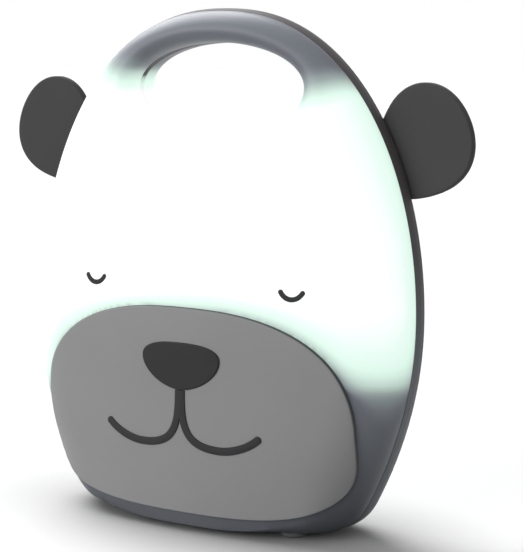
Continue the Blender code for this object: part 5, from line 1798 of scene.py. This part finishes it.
@dataclass
class Face:
    """Muzzle plate, nose, smile and the two closed eyes."""

    shape: CaseShape
    gaps: Gaps
    finishes: Finishes
    muzzle: Muzzle
    plate_rings: tuple[float, ...] = (0.975, 0.94, 0.88, 0.8, 0.7, 0.58, 0.44, 0.28, 0.12)
    nose_groove: float = 0.8 * MM
    groove_reach: float = 3 * MM
    groove_edge: float = 0.1 * MM
    groove_rings: tuple[float, ...] = (0.8, 0.4)
    nose_sizes: tuple[float, float, float] = (17.3 * MM, 6.3 * MM, 12.0 * MM)
    nose_middle: float = 67.2 * MM
    nose_powers: tuple[float, float] = (2.55, 1.75)
    nose_sides: int = 72
    nose_thickness: float = 1.2 * MM
    nose_edge: float = 0.5 * MM
    nose_rings: tuple[float, ...] = (0.92, 0.8, 0.62, 0.4, 0.18)
    smile_width: float = 3.0 * MM
    smile_thickness: float = 1.0 * MM
    smile_down: tuple[tuple[float, float], ...] = (
        (0.65 * MM, 55.15 * MM),
        (0.65 * MM, 42.0 * MM),
        (1.7 * MM, 33.4 * MM),
        (17.5 * MM, 33.4 * MM),
    )
    smile_up: tuple[tuple[float, float], ...] = (
        (17.5 * MM, 33.4 * MM),
        (23.82 * MM, 33.4 * MM),
        (30.14 * MM, 36.35 * MM),
        (33.3 * MM, 39.3 * MM),
    )
    eye_x: float = 44.1 * MM
    eye_half: float = 4.3 * MM
    eye_top: float = 95.3 * MM
    eye_low: float = 91.83 * MM
    eye_width: float = 1.9 * MM
    eye_groove: float = 0.9 * MM
    line_edge: float = 0.25 * MM
    line_steps: int = 24
    rise_steps: int = 14
    cap_steps: int = 6
    fit: float = 0.04 * MM

    def over(self, height: float) -> Callable[[np.ndarray, float], np.ndarray]:
        """Puts flat points at a height over the front shell.

        Args:
            height: Height of a piece's back.

        Returns:
            A function of flat points and a height over that back.
        """
        return lambda flat, rise: self.shape.face(flat, height + rise)

    def nose_outline(self, grow: float = 0.0) -> np.ndarray:
        """Nose's outline.

        Args:
            grow: How far outside the real outline.

        Returns:
            Points as x and z.
        """
        half, rise, fall = self.nose_sizes
        sizes = (half + grow, rise + grow, fall + grow)
        return rounded_outline(sizes, self.nose_middle, self.nose_powers, self.nose_sides)

    def stroke(
        self,
        path: Sequence[np.ndarray],
        width: float,
        low: float,
        high: float,
        round_start: bool,
        inner_limit: float | None = None,
    ) -> np.ndarray:
        """Places of a line on the face with round ends and a soft upper edge.

        Args:
            path: Points of its middle line.
            width: Its width.
            low: Height of its back over the shell.
            high: Height of its top over the shell.
            round_start: Whether it starts with a round end as well.
            inner_limit: Least x of its inner edge, where two strokes meet.

        Returns:
            Rows across the line, each of which closes on itself.
        """
        points, halves = self.ends(path, width, round_start)
        along = np.gradient(points, axis=0)
        along /= np.linalg.norm(along, axis=1)[:, None]
        across = np.stack([-along[:, 1], along[:, 0]], axis=1)
        soft = self.line_edge
        ease = 0.3 * soft
        edge = [(0.0, low), (0.0, high - soft), (ease, high - ease), (soft, high)]
        columns = []
        for side, profile in ((1, edge), (-1, edge[::-1])):
            for pull, height in profile:
                reach = np.maximum(halves - pull, 0.0)[:, None]
                flat = points + across * reach * side
                if inner_limit is not None:
                    flat[:, 0] = np.maximum(flat[:, 0], inner_limit)
                columns.append(self.shape.face(flat, height))
        return looped(np.stack(columns, axis=1))

    def ends(
        self, path: Sequence[np.ndarray], width: float, round_start: bool
    ) -> tuple[np.ndarray, np.ndarray]:
        """Adds round ends to a middle line.

        Args:
            path: Points of the middle line.
            width: Width of the line.
            round_start: Whether its start is round as well.

        Returns:
            Points and half widths.
        """
        radius = width / 2

        def cap(before: np.ndarray, end: np.ndarray) -> tuple[list[np.ndarray], list[float]]:
            """Rounds one end of the line.

            Args:
                before: The point before the end.
                end: The end.

            Returns:
                Points beyond the end and their half widths.
            """
            ahead = (end - before) / np.linalg.norm(end - before)
            steps = self.cap_steps
            turns = [math.pi / 2 * i / steps for i in range(1, steps + 1)]
            spots = [end + ahead * radius * math.sin(turn) for turn in turns]
            return spots, [radius * math.cos(turn) for turn in turns]

        spots, halves = cap(path[-2], path[-1])
        points = list(path) + spots
        widths = [radius] * len(path) + halves
        if round_start:
            spots, halves = cap(path[1], path[0])
            points = list(reversed(spots)) + points
            widths = list(reversed(halves)) + widths
        return np.array(points), np.array(widths)

    def smile_half(self, name: str, grow: float, low: float, high: float) -> bpy.types.Object:
        """Right stroke of the smile and its mirror image as one piece.

        Args:
            name: Name of the piece.
            grow: How much wider than the real line on each side.
            low: Height of its back over the shell.
            high: Height of its top over the shell.

        Returns:
            The piece.
        """
        path = bezier(self.smile_down, self.line_steps) + bezier(self.smile_up, self.rise_steps)[1:]
        if grow:
            path = [path[0] + np.array((0.0, grow))] + path
        width = self.smile_width + 2 * grow
        table = self.stroke(path, width, low, high, False, 0.0)
        smile = Bench.net(name, table, cap=True)
        Bench.edit_all(smile)
        bpy.ops.mesh.select_all(action="DESELECT")
        bpy.ops.object.mode_set(mode="OBJECT")
        for face in smile.data.polygons:
            spots = [smile.data.vertices[i].co.x for i in face.vertices]
            face.select = max(spots) < WELD
        bpy.ops.object.mode_set(mode="EDIT")
        bpy.ops.mesh.delete(type="FACE")
        bpy.ops.object.mode_set(mode="OBJECT")
        Bench.modify(smile, "MIRROR", use_clip=True, merge_threshold=WELD)
        Bench.weld(smile)
        return smile

    def eye(self, name: str, side: int, grow: float, low: float, high: float) -> bpy.types.Object:
        """Closed eye: a short line that sags in its middle.

        Args:
            name: Name of the piece.
            side: -1 for the left eye and 1 for the right one.
            grow: How much wider than the real line on each side.
            low: Height of its back over the shell.
            high: Height of its top over the shell.

        Returns:
            The piece.
        """
        x, half = side * self.eye_x, self.eye_half
        heights = (self.eye_top, self.eye_low, self.eye_low, self.eye_top)
        ends = list(zip((x - half, x - half / 2, x + half / 2, x + half), heights))
        width = self.eye_width + 2 * grow
        return Bench.net(name, self.stroke(bezier(ends, self.line_steps), width, low, high, True))

    def eye_cutters(self) -> list[bpy.types.Object]:
        """Cutters for the grooves of both eyes.

        Returns:
            The cutters.
        """
        return [
            self.eye(f"eye_groove_{word}", side, self.fit, -self.eye_groove, self.groove_reach)
            for word, side in SIDES.items()
        ]

    def build(self) -> None:
        """Models and dresses the whole face."""
        muzzle = self.muzzle
        table = Prism.plate(
            muzzle.outline(),
            (0.0, muzzle.middle),
            muzzle.edge_round,
            self.plate_rings,
            self.over(GAP),
            muzzle.thickness,
        )
        plate = Bench.net("muzzle_plate", table)
        top = GAP + muzzle.thickness
        bottom = top - self.nose_groove
        seat = bottom + GAP
        nose_middle = (0.0, self.nose_middle)
        groove = Prism.plate(
            self.nose_outline(self.fit),
            nose_middle,
            self.groove_edge,
            self.groove_rings,
            self.over(bottom),
            self.groove_reach,
        )
        cutters = [
            Bench.net("nose_groove", groove),
            self.smile_half("smile_groove", self.fit, bottom, top + self.groove_reach),
        ]
        Bench.combine(plate, cutters)
        self.gaps.mark_wall_shade(plate)
        self.finishes.dress(plate, "muzzle_grey", ["muzzle_panel"])
        table = Prism.plate(
            self.nose_outline(),
            nose_middle,
            self.nose_edge,
            self.nose_rings,
            self.over(seat),
            self.nose_thickness,
        )
        self.finishes.dress(Bench.net("nose_inlay", table), "nose_black", ["nose"])
        smile = self.smile_half("smile_inlay", 0.0, seat, seat + self.smile_thickness)
        self.finishes.dress(smile, "line_black", ["mouth"])
        low = GAP - self.eye_groove
        for word, side in SIDES.items():
            eye = self.eye(f"closed_eye_{word}", side, 0.0, low, low + self.eye_groove)
            self.finishes.dress(eye, "line_black", [f"eye_{word}"])


@dataclass
class Ears:
    """Two flat round ears whose tabs are held between the band and the rear shell."""

    shape: CaseShape
    finishes: Finishes
    middle: tuple[float, float] = (82.1 * MM, 149.8 * MM)
    radius: float = 20.7 * MM
    thickness: float = 3.0 * MM
    edge: float = 0.8 * MM
    waves: tuple[tuple[int, float, float], ...] = (
        (1, 0.034, 0.027),
        (2, -0.029, 0.070),
        (3, 0.018, -0.053),
    )
    sides: int = 120
    rings: tuple[float, ...] = (0.9, 0.7, 0.45, 0.2)
    tab_half: float = 7.0 * MM
    tab_end: float = 56.5 * MM
    overrun: float = 3 * MM

    def outline(self, side: int, grow: float = 0.0) -> np.ndarray:
        """Ear's outline with its tab.

        Args:
            side: -1 for the left ear and 1 for the right one.
            grow: How far outside the real outline.

        Returns:
            Points as x and z.
        """
        x0, z0 = self.middle
        low, high = z0 - self.tab_half - grow, z0 + self.tab_half + grow
        loop: list[tuple[float, float]] = []
        for i in range(self.sides):
            turn = 2 * math.pi * i / self.sides
            share = 1 + sum(
                a * math.cos(n * turn) + b * math.sin(n * turn) for n, a, b in self.waves
            )
            radius = self.radius * share + grow
            x, z = x0 + radius * math.cos(turn), z0 + radius * math.sin(turn)
            if not (low < z < high and math.cos(turn) < 0):
                loop.append((x, z))
            elif i == self.sides // 2:
                end, step = self.tab_end - grow, self.tab_half
                corner = ((1.0, 0.0), (0.3, 0.3), (0.0, 0.8))
                loop += [(end + step * a, high - step * b) for a, b in corner]
                loop += [(end + step * a, low + step * b) for a, b in reversed(corner)]
        return np.array([(side * x, z) for x, z in loop])

    def cutters(self) -> list[bpy.types.Object]:
        """Slots in the rear shell that the ears come out of.

        Returns:
            The cutters.
        """
        low = self.shape.seam - self.overrun
        high = self.shape.seam + self.thickness + 2 * GAP
        tables = [Prism.table(self.outline(side, GAP), low, high) for side in SIDES.values()]
        return [Bench.net("ear_slot", table, cap=True) for table in tables]

    def build(self) -> None:
        """Models and dresses both ears."""
        back = self.shape.seam + GAP + self.thickness
        for word, side in SIDES.items():
            table = Prism.plate(
                self.outline(side),
                (side * self.middle[0], self.middle[1]),
                self.edge,
                self.rings,
                lambda flat, rise: at_depth(flat, back - rise),
                self.thickness,
            )
            ear = Bench.net(f"ear_plate_{word}", table)
            self.finishes.dress(ear, "ear_grey", [f"ear_{word}"])


@dataclass
class Back:
    """Battery door, buttons and screws that show at the back."""

    shape: CaseShape
    finishes: Finishes
    door_half: float = 29.7 * MM
    door_low: float = 8.5 * MM
    door_high: float = 66.5 * MM
    door_screw: float = 61.0 * MM
    door_steps: tuple[int, int] = (61, 59)
    door_edge: float = 0.35 * MM
    door_well: tuple[tuple[float, float], ...] = (
        (-6 * MM, 1.8 * MM),
        (-1.2 * MM, 1.8 * MM),
        (-1.2 * MM, 3.1 * MM),
        (0.0, 3.1 * MM),
        (0.6 * MM, 3.7 * MM),
    )
    rib_half: tuple[float, float] = (9 * MM, 0.5 * MM)
    rib_depths: tuple[float, float] = (-1.0 * MM, 0.35 * MM)
    rib_edge: float = 0.3 * MM
    rib_heights: tuple[float, ...] = (6.0 * MM, 8.4 * MM, 10.8 * MM, 13.2 * MM)
    opening: tuple[float, float] = (7 * MM, 40 * MM)
    controls: tuple[tuple[str, float, float], ...] = (
        ("power", -9.5 * MM, 6.0 * MM),
        ("timer", 9.5 * MM, 4.5 * MM),
    )
    control: float = 88 * MM
    control_hole: tuple[float, float] = (8.4 * MM, 30 * MM)
    pitch: float = 0.9 * MM

    def cutters(self) -> list[bpy.types.Object]:
        """Openings in the rear shell for the door and the buttons.

        Returns:
            The cutters.
        """
        inside, outside = self.opening
        door = Bench.block(
            "door_opening",
            (-self.door_half - GAP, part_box("cell_1")[0].y + inside, self.door_low - GAP),
            (self.door_half + GAP, outside, self.door_high + GAP),
        )
        holes = [door]
        for _, x, radius in self.controls:
            profile = [(along, radius + GAP) for along in self.control_hole]
            at = (x, self.shape.seam, self.control)
            holes.append(Bench.turned("button_hole", profile, at))
        return holes

    def screw(self, name: str, node: str, axis: Axis, tip_down: bool, body: str = "lamp") -> None:
        """Pan-head screw with a cross recess in place of a CAD screw.

        Args:
            name: Name of the piece.
            node: CAD screw that it stands for.
            axis: Axis that it lies along.
            tip_down: Whether its head is at the upper end of the axis.
            body: Body that it rides on.
        """
        low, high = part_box(node)
        index = "XYZ".index(axis.value)
        length = high[index] - low[index]
        others = [i for i in range(3) if i != index]
        at = list((low + high) / 2)
        at[index] = high[index] if tip_down else low[index]
        head = (high[others[0]] - low[others[0]]) / 2
        small = head < 2.5 * MM
        tall, shank = (1.4 * MM, 1.2 * MM) if small else (1.8 * MM, 1.5 * MM)
        sign = -1 if tip_down else 1
        # Places from the top of the head and radii: domed head, shank, thread and tip.
        steps = [
            (0.0, head * 0.55),
            (0.12 * tall, head * 0.82),
            (0.4 * tall, head),
            (tall, head),
            (tall, shank),
        ]
        for i in range(int((length - tall - 1.2 * MM) / self.pitch)):
            spot = tall + self.pitch * (i + 0.5)
            steps += [(spot, shank * 0.8), (spot + self.pitch / 2, shank)]
        steps += [(length - 0.3 * MM, shank * 0.7), (length, shank * 0.2)]
        profile = [(sign * along, radius) for along, radius in steps]
        piece = Bench.turned(name, profile, at, axis, 32)
        arm, blade, deep = head * 0.62, head * 0.16, tall * 0.55
        cutters = []
        for wide, thin in ((arm, blade), (blade, arm)):
            near, far = list(at), list(at)
            for i, reach in zip(others, (wide, thin)):
                near[i] -= reach
                far[i] += reach
            near[index] -= deep
            far[index] += deep
            cutters.append(Bench.block("recess", near, far))
        Bench.combine(piece, cutters)
        self.finishes.dress(piece, "screw_steel", [node], body, 30)

    def build_screws(self) -> None:
        """Case screws, the door's screw and the small screws inside."""
        for place in ("top", "middle", "low"):
            for word in SIDES:
                node = f"case_screw_{place}_{word}"
                self.screw(f"pan_screw_{place}_{word}", node, Axis.Y, True)
        self.screw("pan_screw_door", "door_screw", Axis.Y, True, "battery_door")
        for kind in ("board_screw", "chassis_screw", "light_screw"):
            for word in SIDES:
                node = f"{kind}_{word}"
                axis = Axis.Z if kind == "light_screw" else Axis.Y
                self.screw(f"small_{node}", node, axis, kind == "light_screw")

    def build_door(self) -> None:
        """Battery door: a curved panel with a softened edge, a screw well and grip ribs."""
        shape = self.shape
        across, up = self.door_steps
        columns = np.linspace(-self.door_half, self.door_half, across)
        rows = np.linspace(self.door_low, self.door_high, up)
        grid = np.array([[(x, z) for x in columns] for z in rows])
        flat = shape.back(grid.reshape(-1, 2)).reshape(up, across, 3)
        inside = flat.copy()
        inside[..., 1] -= shape.wall
        door = Bench.net("battery_door_panel", flat)
        others = [Bench.net("door_inside", inside)]
        forward, backward = slice(None), slice(None, None, -1)
        for key in ((0, forward), (forward, -1), (-1, backward), (backward, 0)):
            others.append(Bench.net("door_rim", np.stack([flat[key], inside[key]])))
        Bench.pick(door)
        for other in others:
            other.select_set(True)
        bpy.ops.object.join()
        Bench.weld(door)
        Bench.modify(
            door,
            "BEVEL",
            width=self.door_edge,
            segments=2,
            limit_method="ANGLE",
            angle_limit=math.radians(60),
        )
        at = (0.0, shape.back_at(0.0, self.door_screw), self.door_screw)
        Bench.combine(door, [Bench.turned("door_well", self.door_well, at)])
        ribs = []
        for height in self.rib_heights:
            z = self.door_low + height
            y = shape.back_at(0.0, z)
            low, high = (
                (side * self.rib_half[0], y + depth, z + side * self.rib_half[1])
                for side, depth in zip((-1, 1), self.rib_depths)
            )
            ribs.append(Bench.block("grip_rib", low, high, self.rib_edge))
        Bench.combine(door, ribs, "UNION")
        self.finishes.dress(door, "door_grey", ["battery_door"], "battery_door")

    def build_buttons(self) -> None:
        """Round buttons with a dished top and a flange inside the shell."""
        for name, _, radius in self.controls:
            node = f"{name}_button"
            low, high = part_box(node)
            middle = (low + high) / 2
            top = high.y - low.y
            flange = self.flange_rear(node) - low.y
            profile = [
                (0.0, radius / 2),
                (flange - 1.2 * MM, radius / 2),
                (flange - 1.2 * MM, radius + 1.0 * MM),
                (flange - 1.0 * MM, radius + 1.2 * MM),
                (flange, radius + 1.2 * MM),
                (flange, radius),
                (top - 0.5 * MM, radius),
                (top - 0.2 * MM, radius - 0.1 * MM),
                (top - 0.05 * MM, radius - 0.3 * MM),
                (top, radius - 0.65 * MM),
                (top - 0.06 * MM, radius - 1.0 * MM),
                (top - 0.25 * MM, radius * 0.55),
                (top - 0.32 * MM, radius * 0.2),
            ]
            at = (middle.x, low.y, middle.z)
            button = Bench.turned(f"{name}_button_cap", profile, at, Axis.Y, 64)
            self.finishes.dress(button, "button_grey", [node], node)

    @staticmethod
    def flange_rear(node: str) -> float:
        """Depth of the rear face of a CAD button's flange.

        Args:
            node: The CAD button.

        Returns:
            Its y.
        """
        low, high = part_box(node)
        middle = (low + high) / 2
        near_rim = 0.97 * (high.x - low.x) / 2
        spots = [vertex.co - middle for vertex in frame["nodes"][node].data.vertices]
        return middle.y + max(s.y for s in spots if math.hypot(s.x, s.z) > near_rim)


@dataclass
class BatteryBay:
    """Cells, springs and feet in a fine shape; the bay around them keeps its CAD shape."""

    shape: CaseShape
    finishes: Finishes
    cell_radius: float = 7.0 * MM
    cell_count: int = 3
    foot_radius: float = 5.0 * MM
    foot_cut: tuple[float, float] = (-3 * MM, 2.3 * MM)
    wire: float = 0.4 * MM
    coil: tuple[float, float] = (3.8 * MM, 2.6 * MM)
    coil_turns: int = 3
    coil_steps: int = 120

    def foot_places(self) -> list[tuple[str, float, float]]:
        """Places of the feet.

        Returns:
            Node, x and y of each.
        """
        places = []
        for node in (f"foot_{row}_{word}" for row in ("front", "rear") for word in SIDES):
            low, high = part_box(node)
            middle = (low + high) / 2
            places.append((node, middle.x, middle.y))
        return places

    def foot_cutters(self, row: str) -> list[bpy.types.Object]:
        """Recesses for one row of feet.

        Args:
            row: front or rear.

        Returns:
            The cutters.
        """
        profile = [(along, self.foot_radius + GAP) for along in self.foot_cut]
        return [
            Bench.turned("foot_recess", profile, (x, y, 0.0), Axis.Z)
            for node, x, y in self.foot_places()
            if f"_{row}_" in node
        ]

    def build(self) -> None:
        """Models and dresses cells, springs and feet."""
        for node, x, y in self.foot_places():
            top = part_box(node)[1].z
            radius = self.foot_radius
            profile = [
                (0.0, radius - 0.9 * MM),
                (0.12 * MM, radius - 0.4 * MM),
                (0.4 * MM, radius - 0.08 * MM),
                (0.7 * MM, radius),
                (top, radius),
            ]
            foot = Bench.turned(node.replace("foot", "rubber_foot"), profile, (x, y, 0.0), Axis.Z)
            self.finishes.dress(foot, "foot_rubber", [node])
        for i in range(self.cell_count):
            self.build_cell(i)
            self.build_spring(i)

    def build_cell(self, index: int) -> None:
        """One cell with its crimped shoulders and its nub.

        Args:
            index: Place in the bay, from the bottom.
        """
        node = f"cell_{index + 1}"
        low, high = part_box(node)
        middle = (low + high) / 2
        side = 1 if index % 2 == 0 else -1
        tip = high.x if side > 0 else low.x
        length, radius = high.x - low.x, self.cell_radius
        steps = [
            (0.0, 2.4 * MM),
            (0.15 * MM, 2.7 * MM),
            (1.2 * MM, 2.7 * MM),
            (1.2 * MM, 5.6 * MM),
            (1.35 * MM, 6.6 * MM),
            (1.7 * MM, radius),
            (length - 0.5 * MM, radius),
            (length - 0.15 * MM, 6.5 * MM),
            (length - 0.15 * MM, 5.8 * MM),
            (length, 5.4 * MM),
        ]
        profile = [(-side * along, r) for along, r in steps]
        at = (tip, middle.y, middle.z)
        cell = Bench.turned(f"battery_cell_{index + 1}", profile, at, Axis.X, 64)
        self.finishes.dress(cell, "cell_sleeve", [node])

    def build_spring(self, index: int) -> None:
        """Conical contact spring, wound as a curve and turned into a mesh.

        Args:
            index: Place in the bay, from the bottom.
        """
        node = f"cell_spring_{index + 1}"
        low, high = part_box(node)
        side = -1 if index % 2 == 0 else 1
        start = low.x if side < 0 else high.x
        wire, length = self.wire, high.x - low.x
        cell_low, cell_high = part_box(f"cell_{index + 1}")
        middle = (cell_low + cell_high) / 2
        wide, narrow = self.coil
        curve = bpy.data.curves.new(f"contact_spring_{index + 1}", "CURVE")
        curve.dimensions = "3D"
        curve.bevel_depth = wire
        curve.bevel_resolution = 2
        curve.use_fill_caps = True
        line = curve.splines.new("POLY")
        line.points.add(self.coil_steps)
        for n, point in enumerate(line.points):
            share = n / self.coil_steps
            turn = 2 * math.pi * self.coil_turns * share
            radius = wide + (narrow - wide) * share
            x = start - side * (wire + (length - 2 * wire) * share)
            y, z = middle.y + radius * math.cos(turn), middle.z + radius * math.sin(turn)
            point.co = (x, y, z, 1.0)
        spring = bpy.data.objects.new(curve.name, curve)
        bpy.context.scene.collection.objects.link(spring)
        Bench.pick(spring)
        bpy.ops.object.convert(target="MESH")
        spring = bpy.context.active_object
        self.finishes.dress(spring, "spring_nickel", [node], degrees=60)


@dataclass
class Studio:
    """Pale floor, soft lamps, white background and the camera of the photograph."""

    camera_at: tuple[float, float, float] = (0.3372, -0.5479, 0.1795)
    azimuth: float = math.radians(30.0)
    elevation: float = math.radians(7.352)
    roll: float = math.radians(0.637)
    focal_px: float = 1657.47
    height_px: float = 552.0
    sensor_mm: float = 36.0
    dome: float = 0.2
    floor_size: float = 60.0
    # Painted shadow on the floor: reach of the occlusion, and the floor's colour in full shadow and
    # in the open.
    floor_painted_shadow: tuple[float, str, str] = (50 * MM, "#A4A4A4", "#F6F6F6")
    floor_bounce: str = "#909090"
    lamps: tuple[tuple[str, tuple[float, float, float], float, float], ...] = (
        ("key", (-0.72, 0.3, 0.9), 3.3, 50.0),
        ("front", (-0.6, -1.0, 0.1), 2.7, 55.0),
        ("side", (1.0, -0.3, 0.1), 0.5, 60.0),
    )

    def build(self) -> None:
        """Sets up everything around the lamp."""
        self.add_camera()
        self.add_floor()
        self.add_world()
        self.add_lamps()
        bpy.context.scene.view_settings.view_transform = "Standard"

    def add_camera(self) -> None:
        """Camera at the photograph's place and angle."""
        a, e, r = self.azimuth, self.elevation, self.roll
        right = Vector((math.cos(a), math.sin(a), 0.0))
        up = Vector((-math.sin(a) * math.sin(e), math.cos(a) * math.sin(e), math.cos(e)))
        ahead = Vector((-math.sin(a) * math.cos(e), math.cos(a) * math.cos(e), -math.sin(e)))
        turned_right = math.cos(r) * right + math.sin(r) * up
        turned_up = -math.sin(r) * right + math.cos(r) * up
        data = bpy.data.cameras.new("photo_camera")
        data.lens = self.focal_px * self.sensor_mm / self.height_px
        data.sensor_width = self.sensor_mm
        data.clip_start, data.clip_end = 0.01, 100.0
        camera = bpy.data.objects.new("photo_camera", data)
        columns = Matrix((turned_right, turned_up, -ahead)).transposed().to_4x4()
        camera.matrix_world = Matrix.Translation(Vector(self.camera_at)) @ columns
        bpy.context.scene.collection.objects.link(camera)
        bpy.context.scene.camera = camera

    @staticmethod
    def seen_share(tree: bpy.types.NodeTree) -> bpy.types.Node:
        """One for rays that show the background: from the camera, mirrored or refracted.

        Args:
            tree: The node tree.

        Returns:
            The share.
        """
        rays = add_node(tree, "LightPath").outputs
        pair = (rays["Is Camera Ray"], rays["Is Glossy Ray"])
        first = add_node(tree, "Math", pair, operation="MAXIMUM")
        return add_node(tree, "Math", (first, rays["Is Transmission Ray"]), operation="MAXIMUM")

    def add_floor(self) -> None:
        """Floor that is white to the eye, but throws back no more light than a pale grey one."""
        Bench.pick(None)
        bpy.ops.mesh.primitive_plane_add(size=self.floor_size, location=(0.0, 0.0, 0.0))
        floor = bpy.context.active_object
        floor.name = "studio_floor"
        material = bpy.data.materials.new("white_studio_floor")
        material.use_nodes = True
        tree = material.node_tree
        # Painted shadow: under the lamp and close by its base the floor's colour darkens softly
        # with ambient occlusion.
        reach, dark, pale = self.floor_painted_shadow
        close = add_node(tree, "AmbientOcclusion", {"Distance": reach}).outputs["AO"]
        stops = [(0.0, linear(dark)), (1.0, linear(pale))]
        seen = add_node(tree, "BsdfDiffuse", (add_node(tree, "ValToRGB", (close,), stops),))
        bounce = add_node(tree, "BsdfDiffuse", (linear(self.floor_bounce),))
        mix = add_node(tree, "MixShader", (self.seen_share(tree), bounce, seen))
        feed(tree, tree.nodes["Material Output"].inputs["Surface"], mix)
        floor.data.materials.append(material)

    def add_world(self) -> None:
        """White where it is seen, a soft light a little below white everywhere else."""
        world = bpy.data.worlds.new("studio")
        bpy.context.scene.world = world
        world.use_nodes = True
        tree = world.node_tree
        light = tree.nodes["Background"]
        light.inputs["Color"].default_value = linear("#FFFFFF")
        light.inputs["Strength"].default_value = self.dome
        seen = add_node(tree, "Background", (linear("#FFFFFF"), 1.0))
        mix = add_node(tree, "MixShader", (self.seen_share(tree), light, seen))
        feed(tree, tree.nodes["World Output"].inputs["Surface"], mix)

    def add_lamps(self) -> None:
        """Three wide soft lights: above and behind on the left, front left, and a weak right."""
        for name, place, strength, spread in self.lamps:
            data = bpy.data.lights.new(name, "SUN")
            data.energy = strength
            data.angle = math.radians(spread)
            lamp = bpy.data.objects.new(name, data)
            spot = Vector(place)
            turn = (-spot).to_track_quat("-Z", "Y").to_matrix().to_4x4()
            lamp.matrix_world = Matrix.Translation(spot) @ turn
            bpy.context.scene.collection.objects.link(lamp)


def main() -> None:
    """Builds the studio and every part of the lamp."""
    logging.basicConfig(level=logging.INFO, format="%(name)s: %(message)s")
    Studio().build()
    shape = CaseShape()
    finishes = Finishes()
    finishes.dress_nodes(frame["nodes"], frame["record"])
    muzzle = Muzzle()
    gaps = Gaps(shape, muzzle)
    case = Case(shape, gaps, finishes)
    face = Face(shape, gaps, finishes, muzzle)
    ears = Ears(shape, finishes)
    back = Back(shape, finishes)
    bay = BatteryBay(shape, finishes)
    case.build_front(face.eye_cutters(), bay.foot_cutters("front"))
    case.build_rear(ears.cutters() + back.cutters() + bay.foot_cutters("rear"))
    case.build_band()
    face.build()
    ears.build()
    back.build_door()
    back.build_buttons()
    back.build_screws()
    bay.build()
    Bench.pick(None)


if __name__ == "__main__":
    main()
